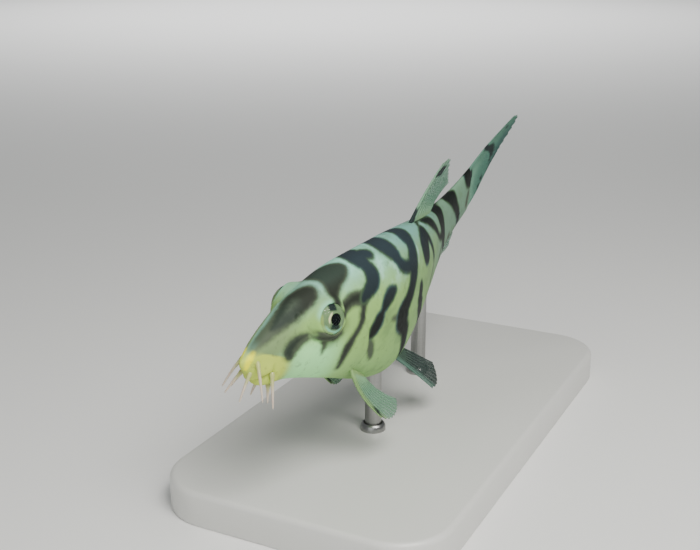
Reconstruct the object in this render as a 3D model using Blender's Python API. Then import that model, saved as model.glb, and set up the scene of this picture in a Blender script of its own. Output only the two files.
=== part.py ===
"""A yoyo loach as a still, life-size model on a plain display stand.

Metres, +Z up. The fish heads towards -X with its left side towards -Y.
The origin is the centre of the underside of the stand's base.
"""

import math
from collections import namedtuple

import bmesh
import bpy
import numpy as np
from mathutils import Euler, Matrix, Vector

MM = 0.001
GAP = 0.3 * MM

# Body lengths, measured back from the tip of the snout along the backbone
BODY_LENGTH = 76 * MM
HEAD_END = 21.8 * MM
TAIL_STEM_START = 58.5 * MM
SPINE_REACH = 104 * MM

# How the backbone bends, in degrees, and between which stations
FIRST_SIDE_BEND = (21.0, 18 * MM, 50 * MM)
SECOND_SIDE_BEND = (-12.3, 48 * MM, 76 * MM)
FIRST_LIFT = (7.0, 11 * MM, 46 * MM)
SECOND_LIFT = (19.4, 46 * MM, 84 * MM)
BODY_TWIST = (3.3, 23 * MM, 76 * MM)

# Attitude of the head on the stand, in degrees, and the place of the snout
POSE_ROLL = 8.0
POSE_PITCH = 6.5
POSE_YAW = -7.6
SNOUT_PLACE = Vector((-44 * MM, 2 * MM, 29.5 * MM))

# Outline of the body in millimetres, with the backbone at height 0
Station = namedtuple("Station", "at top bottom half_width")
STATIONS = [
    Station(0.0, -2.3, -2.3, 0.0),
    Station(1.0, -1.1, -3.6, 0.75),
    Station(2.3, 0.2, -4.6, 1.25),
    Station(4.6, 2.0, -5.9, 2.1),
    Station(8.0, 4.3, -5.9, 3.05),
    Station(12.0, 6.2, -6.6, 3.9),
    Station(17.0, 8.0, -7.8, 4.6),
    Station(21.5, 8.9, -9.2, 4.9),
    Station(27.0, 9.6, -10.8, 5.05),
    Station(32.0, 9.9, -11.5, 4.95),
    Station(38.0, 9.7, -10.3, 4.15),
    Station(44.0, 8.8, -8.2, 3.5),
    Station(50.0, 7.6, -6.7, 3.1),
    Station(57.0, 6.3, -5.4, 2.6),
    Station(63.0, 5.4, -4.8, 1.95),
    Station(70.0, 4.9, -4.4, 1.3),
    Station(76.0, 5.0, -4.5, 0.7),
]
WIDEST_HEIGHT = -1.2 * MM
WIDEST_SHARES = (0.1, 0.7)
BACK_ROUNDNESS = 0.95
BELLY_ROUNDNESS = 0.78

# Eyes: half the width and half the depth of the ball, its pupil's middle, how far it looks up
EYE_WIDE = 2.1 * MM
EYE_DEEP = 1.5 * MM
PUPIL_PLACE = np.array([11.4, 4.7, 2.9]) * MM
EYE_TILT = math.radians(12.0)
EYE_AXIS = np.array([0.0, math.cos(EYE_TILT), math.sin(EYE_TILT)])
EYE_CENTRE = PUPIL_PLACE - EYE_DEEP * EYE_AXIS

# The mound of skin round an eye: where its rim meets the ball, measured from the way the eye
# looks, how deep it lies under the ball, the rim's height and where the rim rises, and how far
# the mound reaches outwards from the rim and down beside the ball
ORBIT_ANGLE = math.radians(63.0)
ORBIT_RADIUS = EYE_WIDE * math.sin(ORBIT_ANGLE)
ORBIT_SINK = 0.12 * MM
ORBIT_RIM = 0.1 * MM
ORBIT_EDGE = (-0.15 * MM, 0.1 * MM)
ORBIT_REACH = (0.1 * MM, 1.5 * MM)
ORBIT_DEPTHS = (-3.2 * MM, -1.6 * MM)

# Mouth and lips under the tip of the snout
MOUTH_FRONT = 2.5 * MM
MOUTH_CORNER = 4.5 * MM
MOUTH_HALF_WIDTH = 1.75 * MM
LIP_HEIGHT = 0.45 * MM
LIP_WIDTH = 0.55 * MM
LIP_OFFSET = 0.75 * MM
LIP_REACH = (0.9 * MOUTH_HALF_WIDTH, 1.35 * MOUTH_HALF_WIDTH)
LOWER_LIP = 0.9
MOUTH_GROOVE = 0.3 * MM
MOUTH_ANGLES = (math.radians(97.0), math.radians(132.0))

# Gill cover: its raised rear edge and how far it stands above the shoulder
GILL_ANGLES = np.radians([62.0, 105.0, 158.0])
GILL_EDGE = np.array([18.3, 20.6, 16.6]) * MM
GILL_STEP = 0.35 * MM
GILL_FADE = math.radians(11.0)
GILL_RISE = (6.0 * MM, 1.5 * MM)
GILL_FALL = (0.2 * MM, 0.6 * MM)
GROOVE_RADIUS = 0.35 * MM
GROOVE_DEPTH = 0.3 * MM
NOSTRIL_STATION = 7.9 * MM
NOSTRIL_ANGLE = math.radians(38.0)
NOSTRIL_RADIUS = 0.42 * MM

# The crescent slit under each eye: its stations, its angle and how far it sags
CHEEK_SLIT = (9.4 * MM, 14.2 * MM)
CHEEK_SLIT_ANGLE = math.radians(77.0)
CHEEK_SLIT_SAG = math.radians(7.0)
CHEEK_SLIT_RADIUS = 0.25 * MM

# Fin thickness: the webs, the ridges of the rays and the fleshy root
WEB = 0.5 * MM
RAY = 0.85 * MM
FIN_TIP = 0.38 * MM
WEB_SHARE = 0.965
ROOT_FLESH = 0.35 * MM
ROOT_FLESH_REACH = 0.12
MARGIN_START = 0.8

# Leans are degrees above the body's axis, sways shares of the length towards the right
MedianFin = namedtuple("MedianFin", "start end leans sway knots lengths rays rows")
DORSAL_FIN = MedianFin(38 * MM, 51 * MM, (37.0, 24.0), -0.13,
                       (0.0, 0.12, 0.5, 1.0), (11.9, 13.0, 10.8, 7.7), 9, 11)
ANAL_FIN = MedianFin(59.5 * MM, 66 * MM, (17.0, 11.0), -0.06,
                     (0.0, 0.15, 0.5, 1.0), (9.5, 11.0, 9.0, 6.0), 7, 9)
TailFin = namedtuple("TailFin", "root_share leans sway knots lengths rays rows")
TAIL_FIN = TailFin(0.93, (6.5, 2.0), (-0.07, 0.12),
                   (0.0, 0.1, 0.3, 0.5, 0.7, 0.9, 1.0),
                   (18.0, 19.8, 18.0, 14.6, 14.6, 16.0, 14.6), 15, 12)

# Angles are degrees round the body from the back, aims and curls shares aft, outwards and up
PairedFin = namedtuple("PairedFin", "start end angles aims curl knots lengths rays rows")
PECTORAL_LEFT = PairedFin(19.5 * MM, 24.0 * MM, (133.0, 150.0),
                          ((0.2, 0.27, -0.94), (0.6, 0.25, -0.75)), (0.4, 0.12, 0.05),
                          (0.0, 0.18, 0.6, 1.0), (8.4, 8.9, 8.4, 6.7), 10, 10)
PECTORAL_RIGHT = PECTORAL_LEFT._replace(
    aims=((0.5, -0.1, -0.85), (0.74, 0.1, -0.66)), curl=(0.3, 0.05, 0.05))
PELVIC = PairedFin(34.2 * MM, 37.8 * MM, (149.0, 162.0),
                   ((0.66, 0.46, -0.59), (0.74, 0.52, -0.43)), (0.01, -0.02, -0.04),
                   (0.0, 0.2, 0.6, 1.0), (10.2, 10.9, 10.4, 8.8), 8, 9)
LEAN_EASE = 0.8

# Barbels: root station, angle in degrees from the back, aims on the left and on the right
# as shares aft, outwards and up, length, droop and radius at the root
Barbel = namedtuple("Barbel", "station angle left_aim right_aim length droop root_radius")
BARBELS = {
    "rostral_inner": Barbel(1.3 * MM, 153.0, (-0.45, 0.05, -0.88), (-0.38, 0.38, -0.82),
                            3.0 * MM, 0.15, 0.36 * MM),
    "rostral_outer": Barbel(1.9 * MM, 112.0, (-0.3, 0.6, -0.72), (-0.3, 0.45, -0.84),
                            3.6 * MM, 0.3, 0.38 * MM),
    "maxillary": Barbel(4.3 * MM, 128.0, (-0.2, 0.4, -0.9), (-0.15, 0.55, -0.8),
                        3.4 * MM, 0.2, 0.4 * MM),
    "mandibular": Barbel(5.2 * MM, 165.0, (-0.1, 0.25, -0.95), (-0.1, 0.25, -0.95),
                         2.0 * MM, 0.1, 0.38 * MM),
}
BARBEL_FALL = (0.2, 0.0, -1.0)
BARBEL_TIP = 0.2 * MM
BARBEL_POINTS = 7

# Facets: rings along the body, sides round it, and segments and rings of each small ball
HEAD_RINGS = 41
TRUNK_RINGS = 30
STEM_RINGS = 11
GIRTH_SIDES = 46
EYE_FACETS = (22, 14)
SOCKET_FACETS = (28, 16)
NOSTRIL_FACETS = (10, 6)
ROD_SIDES = 20
FIN_SHARP_ANGLE = 70.0

# Display stand
BASE_LENGTH = 80 * MM
BASE_WIDTH = 42 * MM
BASE_THICKNESS = 5 * MM
BASE_CORNER = 8 * MM
BASE_EDGE = 0.8 * MM
ROD_RADIUS = 1.25 * MM
SOCKET_DEPTH = 3 * MM
FRONT_ROD_STATION = 33 * MM
REAR_ROD_STATION = 56 * MM


def smoothstep(low, high, value):
    """0 below low, 1 above high and a smooth rise between."""
    share = np.clip((value - low) / (high - low), 0.0, 1.0)
    return share * share * (3.0 - 2.0 * share)


def bump(offset, width):
    """A round hill of height 1 at no offset, fading over the width."""
    return np.exp(-((offset / width) ** 2))


def spline(knots, values, at):
    """Cubic curve through the values at the knots, read at some places."""
    slopes = np.gradient(values, knots)
    index = np.clip(np.searchsorted(knots, at) - 1, 0, len(knots) - 2)
    width = knots[index + 1] - knots[index]
    t = (at - knots[index]) / width
    start = (1 + 2 * t) * (1 - t) ** 2 * values[index] + t * (1 - t) ** 2 * width * slopes[index]
    end = t * t * (3 - 2 * t) * values[index + 1] + t * t * (t - 1) * width * slopes[index + 1]
    return start + end


def unit(vectors):
    """Vectors scaled to length 1."""
    return vectors / np.linalg.norm(vectors, axis=-1, keepdims=True)


def make_spine():
    """The bent backbone: stations, points, and the right and up directions there."""
    at = np.linspace(0.0, SPINE_REACH, 521)

    def bend(degrees, start, end):
        return math.radians(degrees) * smoothstep(start, end, at)

    yaw = bend(*FIRST_SIDE_BEND) + bend(*SECOND_SIDE_BEND)
    lift = bend(*FIRST_LIFT) + bend(*SECOND_LIFT)
    twist = bend(*BODY_TWIST)[:, None]
    aft = np.stack([np.cos(yaw) * np.cos(lift), np.sin(yaw) * np.cos(lift), np.sin(lift)], 1)
    level_right = np.stack([-np.sin(yaw), np.cos(yaw), 0 * yaw], 1)
    level_up = np.cross(aft, level_right)
    steps = (aft[1:] + aft[:-1]) / 2 * (at[1] - at[0])
    points = np.vstack([np.zeros(3), np.cumsum(steps, 0)])
    right = level_right * np.cos(twist) + level_up * np.sin(twist)
    up = level_up * np.cos(twist) - level_right * np.sin(twist)
    return at, points, right, up


SPINE_AT, SPINE_POINTS, SPINE_RIGHT, SPINE_UP = make_spine()


def along_spine(table, station):
    """A column of the spine's tables read at some stations."""
    return np.stack([np.interp(station, SPINE_AT, table[:, k]) for k in range(3)], -1)


def body_place(station, side, height):
    """A point at a station, so far to the right of the backbone and so far above it."""
    station, side, height = np.broadcast_arrays(station, side, height)
    return (along_spine(SPINE_POINTS, station)
            + along_spine(SPINE_RIGHT, station) * side[..., None]
            + along_spine(SPINE_UP, station) * height[..., None])


def body_direction(station, aft, right, up):
    """A unit direction given by its shares along the body's own axes at a station."""
    axis_right = along_spine(SPINE_RIGHT, station)
    axis_up = along_spine(SPINE_UP, station)
    axis_aft = np.cross(axis_right, axis_up)
    return unit(axis_aft * np.expand_dims(aft, -1) + axis_right * np.expand_dims(right, -1)
                + axis_up * np.expand_dims(up, -1))


KNOTS = np.sqrt(np.array([row.at for row in STATIONS]) * MM)


def profile(name, station):
    """One of the stations' measures, read anywhere along the body."""
    values = np.array([getattr(row, name) for row in STATIONS]) * MM
    return spline(KNOTS, values, np.sqrt(np.clip(station, 0.0, BODY_LENGTH)))


def section(station, angle, grow=0.0):
    """Side and height of the plain skin at a station and an angle round the body.

    The angle is 0 on the back, positive down the right side and pi under the belly.
    """
    top, bottom = profile("top", station) + grow, profile("bottom", station) - grow
    width = profile("half_width", station) + grow
    low, high = (bottom + (top - bottom) * share for share in WIDEST_SHARES)
    middle = np.clip(WIDEST_HEIGHT, low, high)
    share = (1 - np.cos(angle)) / 2
    power = BACK_ROUNDNESS + (BELLY_ROUNDNESS - BACK_ROUNDNESS) * share
    side = width * np.sign(np.sin(angle)) * np.abs(np.sin(angle)) ** power
    reach = np.where(np.cos(angle) > 0, top - middle, middle - bottom)
    return side, middle + reach * np.cos(angle)


def gill_edge(angle):
    """Station of the gill cover's rear edge at an angle down the side."""
    return spline(GILL_ANGLES, GILL_EDGE, np.clip(np.abs(angle), GILL_ANGLES[0], GILL_ANGLES[-1]))


def mouth_station(side):
    """Station of the crescent line of the mouth so far from the middle."""
    return MOUTH_FRONT + (MOUTH_CORNER - MOUTH_FRONT) * (side / MOUTH_HALF_WIDTH) ** 2


def orbit_mound(station, side, height):
    """The place of a point of the skin after it is lifted round the nearer eye."""
    place = np.stack([station, np.abs(side), height], -1)
    away = place - EYE_CENTRE
    along = away @ EYE_AXIS
    off_axis = np.sqrt(np.maximum(np.sum(away ** 2, -1) - along ** 2, 0.0))
    edge = off_axis - ORBIT_RADIUS
    inside = np.minimum(off_axis, ORBIT_RADIUS) / EYE_WIDE
    lid = EYE_DEEP * np.sqrt(1.0 - inside ** 2) - ORBIT_SINK
    lid = lid + (ORBIT_SINK + ORBIT_RIM) * smoothstep(*ORBIT_EDGE, edge)
    share = (1 - smoothstep(*ORBIT_REACH, edge)) * smoothstep(*ORBIT_DEPTHS, along)
    lift = share * np.maximum(lid - along, 0.0)
    moved = place + EYE_AXIS * lift[..., None]
    return moved[..., 0], moved[..., 1] * np.where(side < 0, -1.0, 1.0), moved[..., 2]


def relief(station, angle, side):
    """How far the lips and gill covers stand out from the plain skin."""
    under = smoothstep(*MOUTH_ANGLES, np.abs(angle))
    across = 1 - smoothstep(*LIP_REACH, np.abs(side))
    past = station - mouth_station(np.clip(side, -MOUTH_HALF_WIDTH, MOUTH_HALF_WIDTH))
    lips = bump(past + LIP_OFFSET, LIP_WIDTH) + LOWER_LIP * bump(past - LIP_OFFSET, LIP_WIDTH)
    lips = lips - MOUTH_GROOVE / LIP_HEIGHT * bump(past, LIP_WIDTH / 2)
    out = LIP_HEIGHT * under * across * lips
    turn = np.abs(angle)
    first, last = GILL_ANGLES[0], GILL_ANGLES[-1]
    cover = smoothstep(first - GILL_FADE, first + GILL_FADE, turn)
    cover = cover * (1 - smoothstep(last - GILL_FADE, last + GILL_FADE, turn))
    edge = gill_edge(angle)
    raised = smoothstep(edge - GILL_RISE[0], edge - GILL_RISE[1], station)
    raised = raised * (1 - smoothstep(edge - GILL_FALL[0], edge + GILL_FALL[1], station))
    return out + GILL_STEP * cover * raised


def skin_point(station, angle, grow=0.0):
    """A point on the skin with its relief, or so far outside it."""
    station, angle = np.broadcast_arrays(station, angle)
    side, height = section(station, angle, grow)
    rise = relief(station, angle, side)
    outward = unit(np.stack([side, height - WIDEST_HEIGHT], -1) + 1e-9)
    side, height = side + outward[..., 0] * rise, height + outward[..., 1] * rise
    return body_place(*orbit_mound(station, side, height))


def skin_normal(station, angle):
    """Outward normal of the skin."""
    small = 0.05 * MM
    along = skin_point(station + small, angle) - skin_point(station - small, angle)
    round_body = skin_point(station, angle + 0.01) - skin_point(station, angle - 0.01)
    return unit(np.cross(round_body, along))


def under_angle(station, side):
    """The angle on the lower half of the skin that lies so far to one side."""
    share = np.clip(np.abs(side) / profile("half_width", station), 0.0, 1.0)
    return np.sign(side) * (np.pi - np.arcsin(share ** (1 / BELLY_ROUNDNESS)))


# Fins, as grids of points in the fish's own frame


def fin_sheet(root, aim, lengths, curl, rows):
    """Middle surface of a fin, with a column for each ray and for each web between two rays."""
    share = np.linspace(0.0, 1.0, rows)[None, :, None]
    reach = share * lengths[:, None, None]
    return root[:, None] + aim[:, None] * reach + curl[:, None] * reach * share


def ray_lengths(columns, knots, lengths):
    """Length of each column, with the webs a little shorter than the rays."""
    share = np.linspace(0.0, 1.0, columns)
    reach = spline(np.array(knots), np.array(lengths) * MM, share)
    return np.where(np.arange(columns) % 2 == 0, reach, reach * WEB_SHARE)


def median_fin(fin, side_up):
    """A fin on the ridge of the back, or under the belly where side_up is -1."""
    columns = 2 * fin.rays - 1
    share = np.linspace(0.0, 1.0, columns)
    station = fin.start + (fin.end - fin.start) * share
    root = skin_point(station, np.full(columns, 0.0 if side_up > 0 else np.pi), GAP)
    lean = np.radians(fin.leans[0] + (fin.leans[1] - fin.leans[0]) * share ** LEAN_EASE)
    aim = body_direction(station, np.cos(lean), 0 * lean, side_up * np.sin(lean))
    curl = along_spine(SPINE_RIGHT, station) * fin.sway
    lengths = ray_lengths(columns, fin.knots, fin.lengths)
    return fin_sheet(root, aim, lengths, curl, fin.rows), along_spine(SPINE_RIGHT, station)


def tail_fin(fin):
    """The forked fin on the end of the tail stem, with its lobes partly closed."""
    columns = 2 * fin.rays - 1
    share = np.linspace(0.0, 1.0, columns)
    station = np.full(columns, BODY_LENGTH)
    top = profile("top", BODY_LENGTH) * fin.root_share
    bottom = profile("bottom", BODY_LENGTH) * fin.root_share
    root = body_place(station + GAP, 0.0, top + (bottom - top) * share)
    spread = np.radians(fin.leans[0] + (fin.leans[1] - fin.leans[0]) * share)
    aim = body_direction(station, np.cos(spread), 0 * share, np.sin(spread))
    right = along_spine(SPINE_RIGHT, station)
    curl = right * (fin.sway[0] + (fin.sway[1] - fin.sway[0]) * share ** 2)[:, None]
    lengths = ray_lengths(columns, fin.knots, fin.lengths)
    return fin_sheet(root, aim, lengths, curl, fin.rows), right


def paired_fin(fin, side):
    """A pectoral or pelvic fin. The side is 1 on the right and -1 on the left."""
    columns = 2 * fin.rays - 1
    share = np.linspace(0.0, 1.0, columns)
    station = fin.start + (fin.end - fin.start) * share
    angle = side * np.radians(fin.angles[0] + (fin.angles[1] - fin.angles[0]) * share)
    root = skin_point(station, angle, GAP)
    parts = np.array(fin.aims[0]) + np.outer(share, np.subtract(fin.aims[1], fin.aims[0]))
    aim = body_direction(station, parts[:, 0], parts[:, 1] * side, parts[:, 2])
    aft, outward, up = (value + 0 * share for value in fin.curl)
    curl = body_direction(station, aft, outward * side, up) * math.hypot(*fin.curl)
    lengths = ray_lengths(columns, fin.knots, fin.lengths)
    across = np.cross(skin_normal(station, angle), unit(np.gradient(root, axis=0)))
    return fin_sheet(root, aim, lengths, curl, fin.rows), across


def all_fins():
    """Each fin's name, middle surface and direction across its root."""
    return {
        "dorsal_fin": median_fin(DORSAL_FIN, 1),
        "anal_fin": median_fin(ANAL_FIN, -1),
        "tail_fin": tail_fin(TAIL_FIN),
        "pectoral_fin_left": paired_fin(PECTORAL_LEFT, -1),
        "pectoral_fin_right": paired_fin(PECTORAL_RIGHT, 1),
        "pelvic_fin_left": paired_fin(PELVIC, -1),
        "pelvic_fin_right": paired_fin(PELVIC, 1),
    }


def barbel_path(barbel, side):
    """Points along one barbel, from the skin to its tip."""
    angle = side * math.radians(barbel.angle)
    root = skin_point(np.array(barbel.station), np.array(angle), GAP)
    aft, outward, up = barbel.left_aim if side < 0 else barbel.right_aim
    aim = body_direction(np.array(barbel.station), aft, outward * side, up)
    share = np.linspace(0.0, 1.0, BARBEL_POINTS)[:, None]
    fall = body_direction(np.array(barbel.station), *BARBEL_FALL) * barbel.droop
    return root + (aim * share + fall * share ** 2) * barbel.length


# Meshes from grids of points


def finish(mesh, name, collection, material, pose=None, smooth=50.0):
    """A shaded object from a mesh, placed under the fish's pose when one is given."""
    mesh.validate()
    mesh.shade_smooth()
    mesh.set_sharp_from_angle(angle=math.radians(smooth))
    thing = bpy.data.objects.new(name, mesh)
    thing.data.materials.append(material)
    collection.objects.link(thing)
    thing.parent = pose
    return thing


def mesh_from_faces(name, points, faces):
    """A mesh from points and faces, with its faces turned outwards."""
    mesh = bpy.data.meshes.new(name)
    mesh.from_pydata([tuple(p) for p in points], [], faces)
    shape = bmesh.new()
    shape.from_mesh(mesh)
    bmesh.ops.recalc_face_normals(shape, faces=shape.faces)
    shape.to_mesh(mesh)
    shape.free()
    return mesh


def tube_faces(rings, sides, start_pole, end_pole):
    """Faces of a closed loft: rings of equal sides, with a pole point at each end."""
    faces = []
    for ring in range(rings - 1):
        for side in range(sides):
            a, b = ring * sides + side, ring * sides + (side + 1) % sides
            faces.append((a, b, b + sides, a + sides))
    last = (rings - 1) * sides
    for side in range(sides):
        after = (side + 1) % sides
        faces.append((after, side, start_pole))
        faces.append((last + side, last + after, end_pole))
    return faces


def body_loft(name, start, end, rings):
    """A closed length of the body between two stations, capped across its section."""
    low, high = math.sqrt(max(start, 0.05 * MM)), math.sqrt(end)
    stations = np.linspace(low, high, rings) ** 2
    angles = np.linspace(-math.pi, math.pi, GIRTH_SIDES, endpoint=False)
    points = skin_point(stations[:, None], angles[None, :]).reshape(-1, 3)
    poles = []
    for station in (start, end):
        centre = (profile("top", station) + profile("bottom", station)) / 2
        poles.append(body_place(np.array(station), 0.0, centre))
    count = len(points)
    faces = tube_faces(rings, GIRTH_SIDES, count, count + 1)
    return mesh_from_faces(name, np.vstack([points, poles]), faces)


def fin_mesh(name, middle, across):
    """A fin with both faces, thicker on its rays and at its root, thin at its margin."""
    columns, rows = middle.shape[:2]
    along_rows, along_columns = np.gradient(middle, axis=1), np.gradient(middle, axis=0)
    normal = unit(np.cross(along_columns, along_rows))
    share = np.linspace(0.0, 1.0, rows)[None, :]
    ray = (np.arange(columns) % 2 == 0)[:, None]
    thick = np.where(ray, RAY + (WEB - RAY) * share, WEB + 0 * share)
    thick = thick + (FIN_TIP - WEB) * smoothstep(MARGIN_START, 1.0, share)
    thick = thick + ROOT_FLESH * bump(share, ROOT_FLESH_REACH)
    sign = np.sign(np.sum(normal[:, 0] * across, axis=-1, keepdims=True))
    normal[:, 0] = across * sign
    offset = normal * (thick / 2)[..., None]
    points = np.vstack([(middle + offset).reshape(-1, 3), (middle - offset).reshape(-1, 3)])
    back = columns * rows
    faces = []
    for c in range(columns - 1):
        for r in range(rows - 1):
            a, b = c * rows + r, (c + 1) * rows + r
            if c % 2 == 0:
                halves = ((a, b, b + 1), (a, b + 1, a + 1))
            else:
                halves = ((a, b, a + 1), (b, b + 1, a + 1))
            for half in halves:
                faces.append(half)
                faces.append(tuple(back + k for k in reversed(half)))
    rim = [c * rows for c in range(columns)]
    rim += [(columns - 1) * rows + r for r in range(1, rows)]
    rim += [c * rows + rows - 1 for c in range(columns - 2, -1, -1)]
    rim += [r for r in range(rows - 2, 0, -1)]
    for first, second in zip(rim, rim[1:] + rim[:1]):
        faces.append((first, second, back + second))
        faces.append((first, back + second, back + first))
    return mesh_from_faces(name, points, faces)


def tube(name, points, radii, guides):
    """A closed mesh tube along some points, made from a curve with filled ends."""
    curve = bpy.data.curves.new(name + "_path", "CURVE")
    curve.dimensions = "3D"
    curve.bevel_depth = 1.0
    curve.bevel_resolution = 2
    curve.use_fill_caps = True
    line = curve.splines.new("POLY")
    line.points.add(len(points) - 1)
    for knot, point, radius in zip(line.points, points, radii):
        knot.co = (*point, 1.0)
        knot.radius = radius
    path = bpy.data.objects.new(name + "_path", curve)
    guides.objects.link(path)
    bpy.context.view_layer.update()
    seen = path.evaluated_get(bpy.context.evaluated_depsgraph_get())
    mesh = bpy.data.meshes.new_from_object(seen)
    mesh.transform(path.matrix_world)
    bpy.data.objects.remove(path)
    shape = bmesh.new()
    shape.from_mesh(mesh)
    bmesh.ops.remove_doubles(shape, verts=shape.verts, dist=0.001 * MM)
    bmesh.ops.recalc_face_normals(shape, faces=shape.faces)
    shape.to_mesh(mesh)
    shape.free()
    mesh.name = name
    return mesh


def ball(name, place, radius, facets):
    """A sphere mesh under a matrix that places, turns or flattens it."""
    segments, rings = facets
    mesh = bpy.data.meshes.new(name)
    shape = bmesh.new()
    bmesh.ops.create_uvsphere(shape, u_segments=segments, v_segments=rings, radius=radius,
                              matrix=place)
    shape.to_mesh(mesh)
    shape.free()
    return mesh


def cut(target, cutter):
    """Take a closed cutter object out of the target, and leave its mesh changed."""
    modifier = target.modifiers.new(cutter.name, "BOOLEAN")
    modifier.operation = "DIFFERENCE"
    modifier.object = cutter
    bpy.context.view_layer.update()
    seen = target.evaluated_get(bpy.context.evaluated_depsgraph_get())
    mesh = bpy.data.meshes.new_from_object(seen)
    target.modifiers.clear()
    target.data = mesh


def add_cutter(mesh, collection):
    """A guide object that cuts and is never seen."""
    cutter = bpy.data.objects.new(mesh.name, mesh)
    cutter.hide_render = True
    cutter.display_type = "WIRE"
    collection.objects.link(cutter)
    return cutter


def colour(name, rgb, roughness, metallic=0.0):
    """A Principled material of one colour."""
    material = bpy.data.materials.new(name)
    material.use_nodes = True
    shader = material.node_tree.nodes["Principled BSDF"]
    shader.inputs["Base Color"].default_value = (*rgb, 1.0)
    shader.inputs["Roughness"].default_value = roughness
    shader.inputs["Metallic"].default_value = metallic
    return material


# Sub-parts


def groove(name, stations, angles, radius, depth, guides):
    """A cutter tube that follows a line on the skin and sinks in by the depth."""
    points = skin_point(np.array(stations), np.array(angles), radius - depth)
    return add_cutter(tube(name, points, [radius] * len(points), guides), guides)


def head_cutters(guides):
    """Everything cut into the head: sockets, mouth, nostrils, gill openings and cheek slits."""
    cutters = []
    side = np.linspace(-1.0, 1.0, 13) * MOUTH_HALF_WIDTH
    stations = mouth_station(side)
    cutters.append(groove("mouth_line", stations, under_angle_path(stations, side),
                          MOUTH_GROOVE, MOUTH_GROOVE * 0.8, guides))
    for name, sign in (("left", -1), ("right", 1)):
        socket = ball("socket_" + name, eye_place(sign, GAP), 1.0, SOCKET_FACETS)
        cutters.append(add_cutter(socket, guides))
        gill_angles = np.linspace(GILL_ANGLES[0], GILL_ANGLES[-1], 13)
        gill_stations = gill_edge(gill_angles) + GROOVE_RADIUS
        cutters.append(groove("gill_" + name, gill_stations, sign * gill_angles,
                              GROOVE_RADIUS, GROOVE_DEPTH, guides))
        share = np.linspace(0.0, 1.0, 9)
        slit_angles = CHEEK_SLIT_ANGLE + CHEEK_SLIT_SAG * np.sin(np.pi * share)
        slit_stations = CHEEK_SLIT[0] + (CHEEK_SLIT[1] - CHEEK_SLIT[0]) * share
        cutters.append(groove("cheek_slit_" + name, slit_stations, sign * slit_angles,
                              CHEEK_SLIT_RADIUS, CHEEK_SLIT_RADIUS * 0.8, guides))
        nostril = skin_point(np.array(NOSTRIL_STATION), np.array(sign * NOSTRIL_ANGLE))
        nostril = Matrix.Translation(nostril)
        nostril = ball("nostril_" + name, nostril, NOSTRIL_RADIUS, NOSTRIL_FACETS)
        cutters.append(add_cutter(nostril, guides))
    return cutters


def under_angle_path(stations, side):
    """Angles under the snout for a crescent that crosses the middle, without a jump at pi."""
    angle = np.abs(under_angle(stations, side))
    return np.where(side < 0, -angle, angle) % (2 * np.pi)


def eye_place(sign, grow):
    """Matrix that makes a unit sphere the eyeball of one side, or so much bigger all round."""
    station, side, height = EYE_CENTRE
    centre = Vector(body_place(np.array(station), sign * side, height))
    axis = Vector(body_direction(np.array(station), EYE_AXIS[0], sign * EYE_AXIS[1], EYE_AXIS[2]))
    turn = Vector((0, 0, 1)).rotation_difference(axis).to_matrix().to_4x4()
    size = Matrix.Diagonal((EYE_WIDE + grow, EYE_WIDE + grow, EYE_DEEP + grow, 1.0))
    return Matrix.Translation(centre) @ turn @ size


def build_body(fish, guides, pose, skin):
    """The head with its cuts, the trunk and the tail stem."""
    head = finish(body_loft("head", 0.0, HEAD_END - GAP / 2, HEAD_RINGS), "head", fish, skin, pose)
    for cutter in head_cutters(guides):
        cutter.parent = pose
        cut(head, cutter)
    head.data.materials.clear()
    head.data.materials.append(skin)
    finish(body_loft("trunk", HEAD_END + GAP / 2, TAIL_STEM_START - GAP / 2, TRUNK_RINGS),
           "trunk", fish, skin, pose)
    finish(body_loft("tail_stem", TAIL_STEM_START + GAP / 2, BODY_LENGTH, STEM_RINGS),
           "tail_stem", fish, skin, pose)


def build_fins(fish, pose, material):
    """Seven fins, each with its rays raised in its own surface."""
    for name, (middle, across) in all_fins().items():
        finish(fin_mesh(name, middle, across), name, fish, material, pose, FIN_SHARP_ANGLE)


def build_face(fish, guides, pose, eye_material, barbel_material):
    """The eyes and the four pairs of barbels."""
    for name, sign in (("left", -1), ("right", 1)):
        eye = ball("eye_" + name, eye_place(sign, 0.0), 1.0, EYE_FACETS)
        finish(eye, "eye_" + name, fish, eye_material, pose)
        for kind, barbel in BARBELS.items():
            path = barbel_path(barbel, sign)
            share = np.linspace(0.0, 1.0, BARBEL_POINTS)
            radii = barbel.root_radius + (BARBEL_TIP - barbel.root_radius) * share ** 1.5
            whole = kind + "_barbel_" + name
            finish(tube(whole, path, radii, guides), whole, fish, barbel_material, pose)


def rod(name, foot, top, slope, fish, material):
    """An upright rod whose top is cut to the slope of the skin above it."""
    mesh = bpy.data.meshes.new(name)
    shape = bmesh.new()
    height = top.z - foot
    bmesh.ops.create_cone(shape, cap_ends=True, segments=ROD_SIDES, radius1=ROD_RADIUS,
                          radius2=ROD_RADIUS, depth=height,
                          matrix=Matrix.Translation((top.x, top.y, foot + height / 2)))
    for vert in shape.verts:
        if vert.co.z > foot + height / 2:
            run = slope.x * (vert.co.x - top.x) + slope.y * (vert.co.y - top.y)
            vert.co.z = top.z - run / slope.z
    shape.to_mesh(mesh)
    shape.free()
    finish(mesh, name, fish, material)


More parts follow.
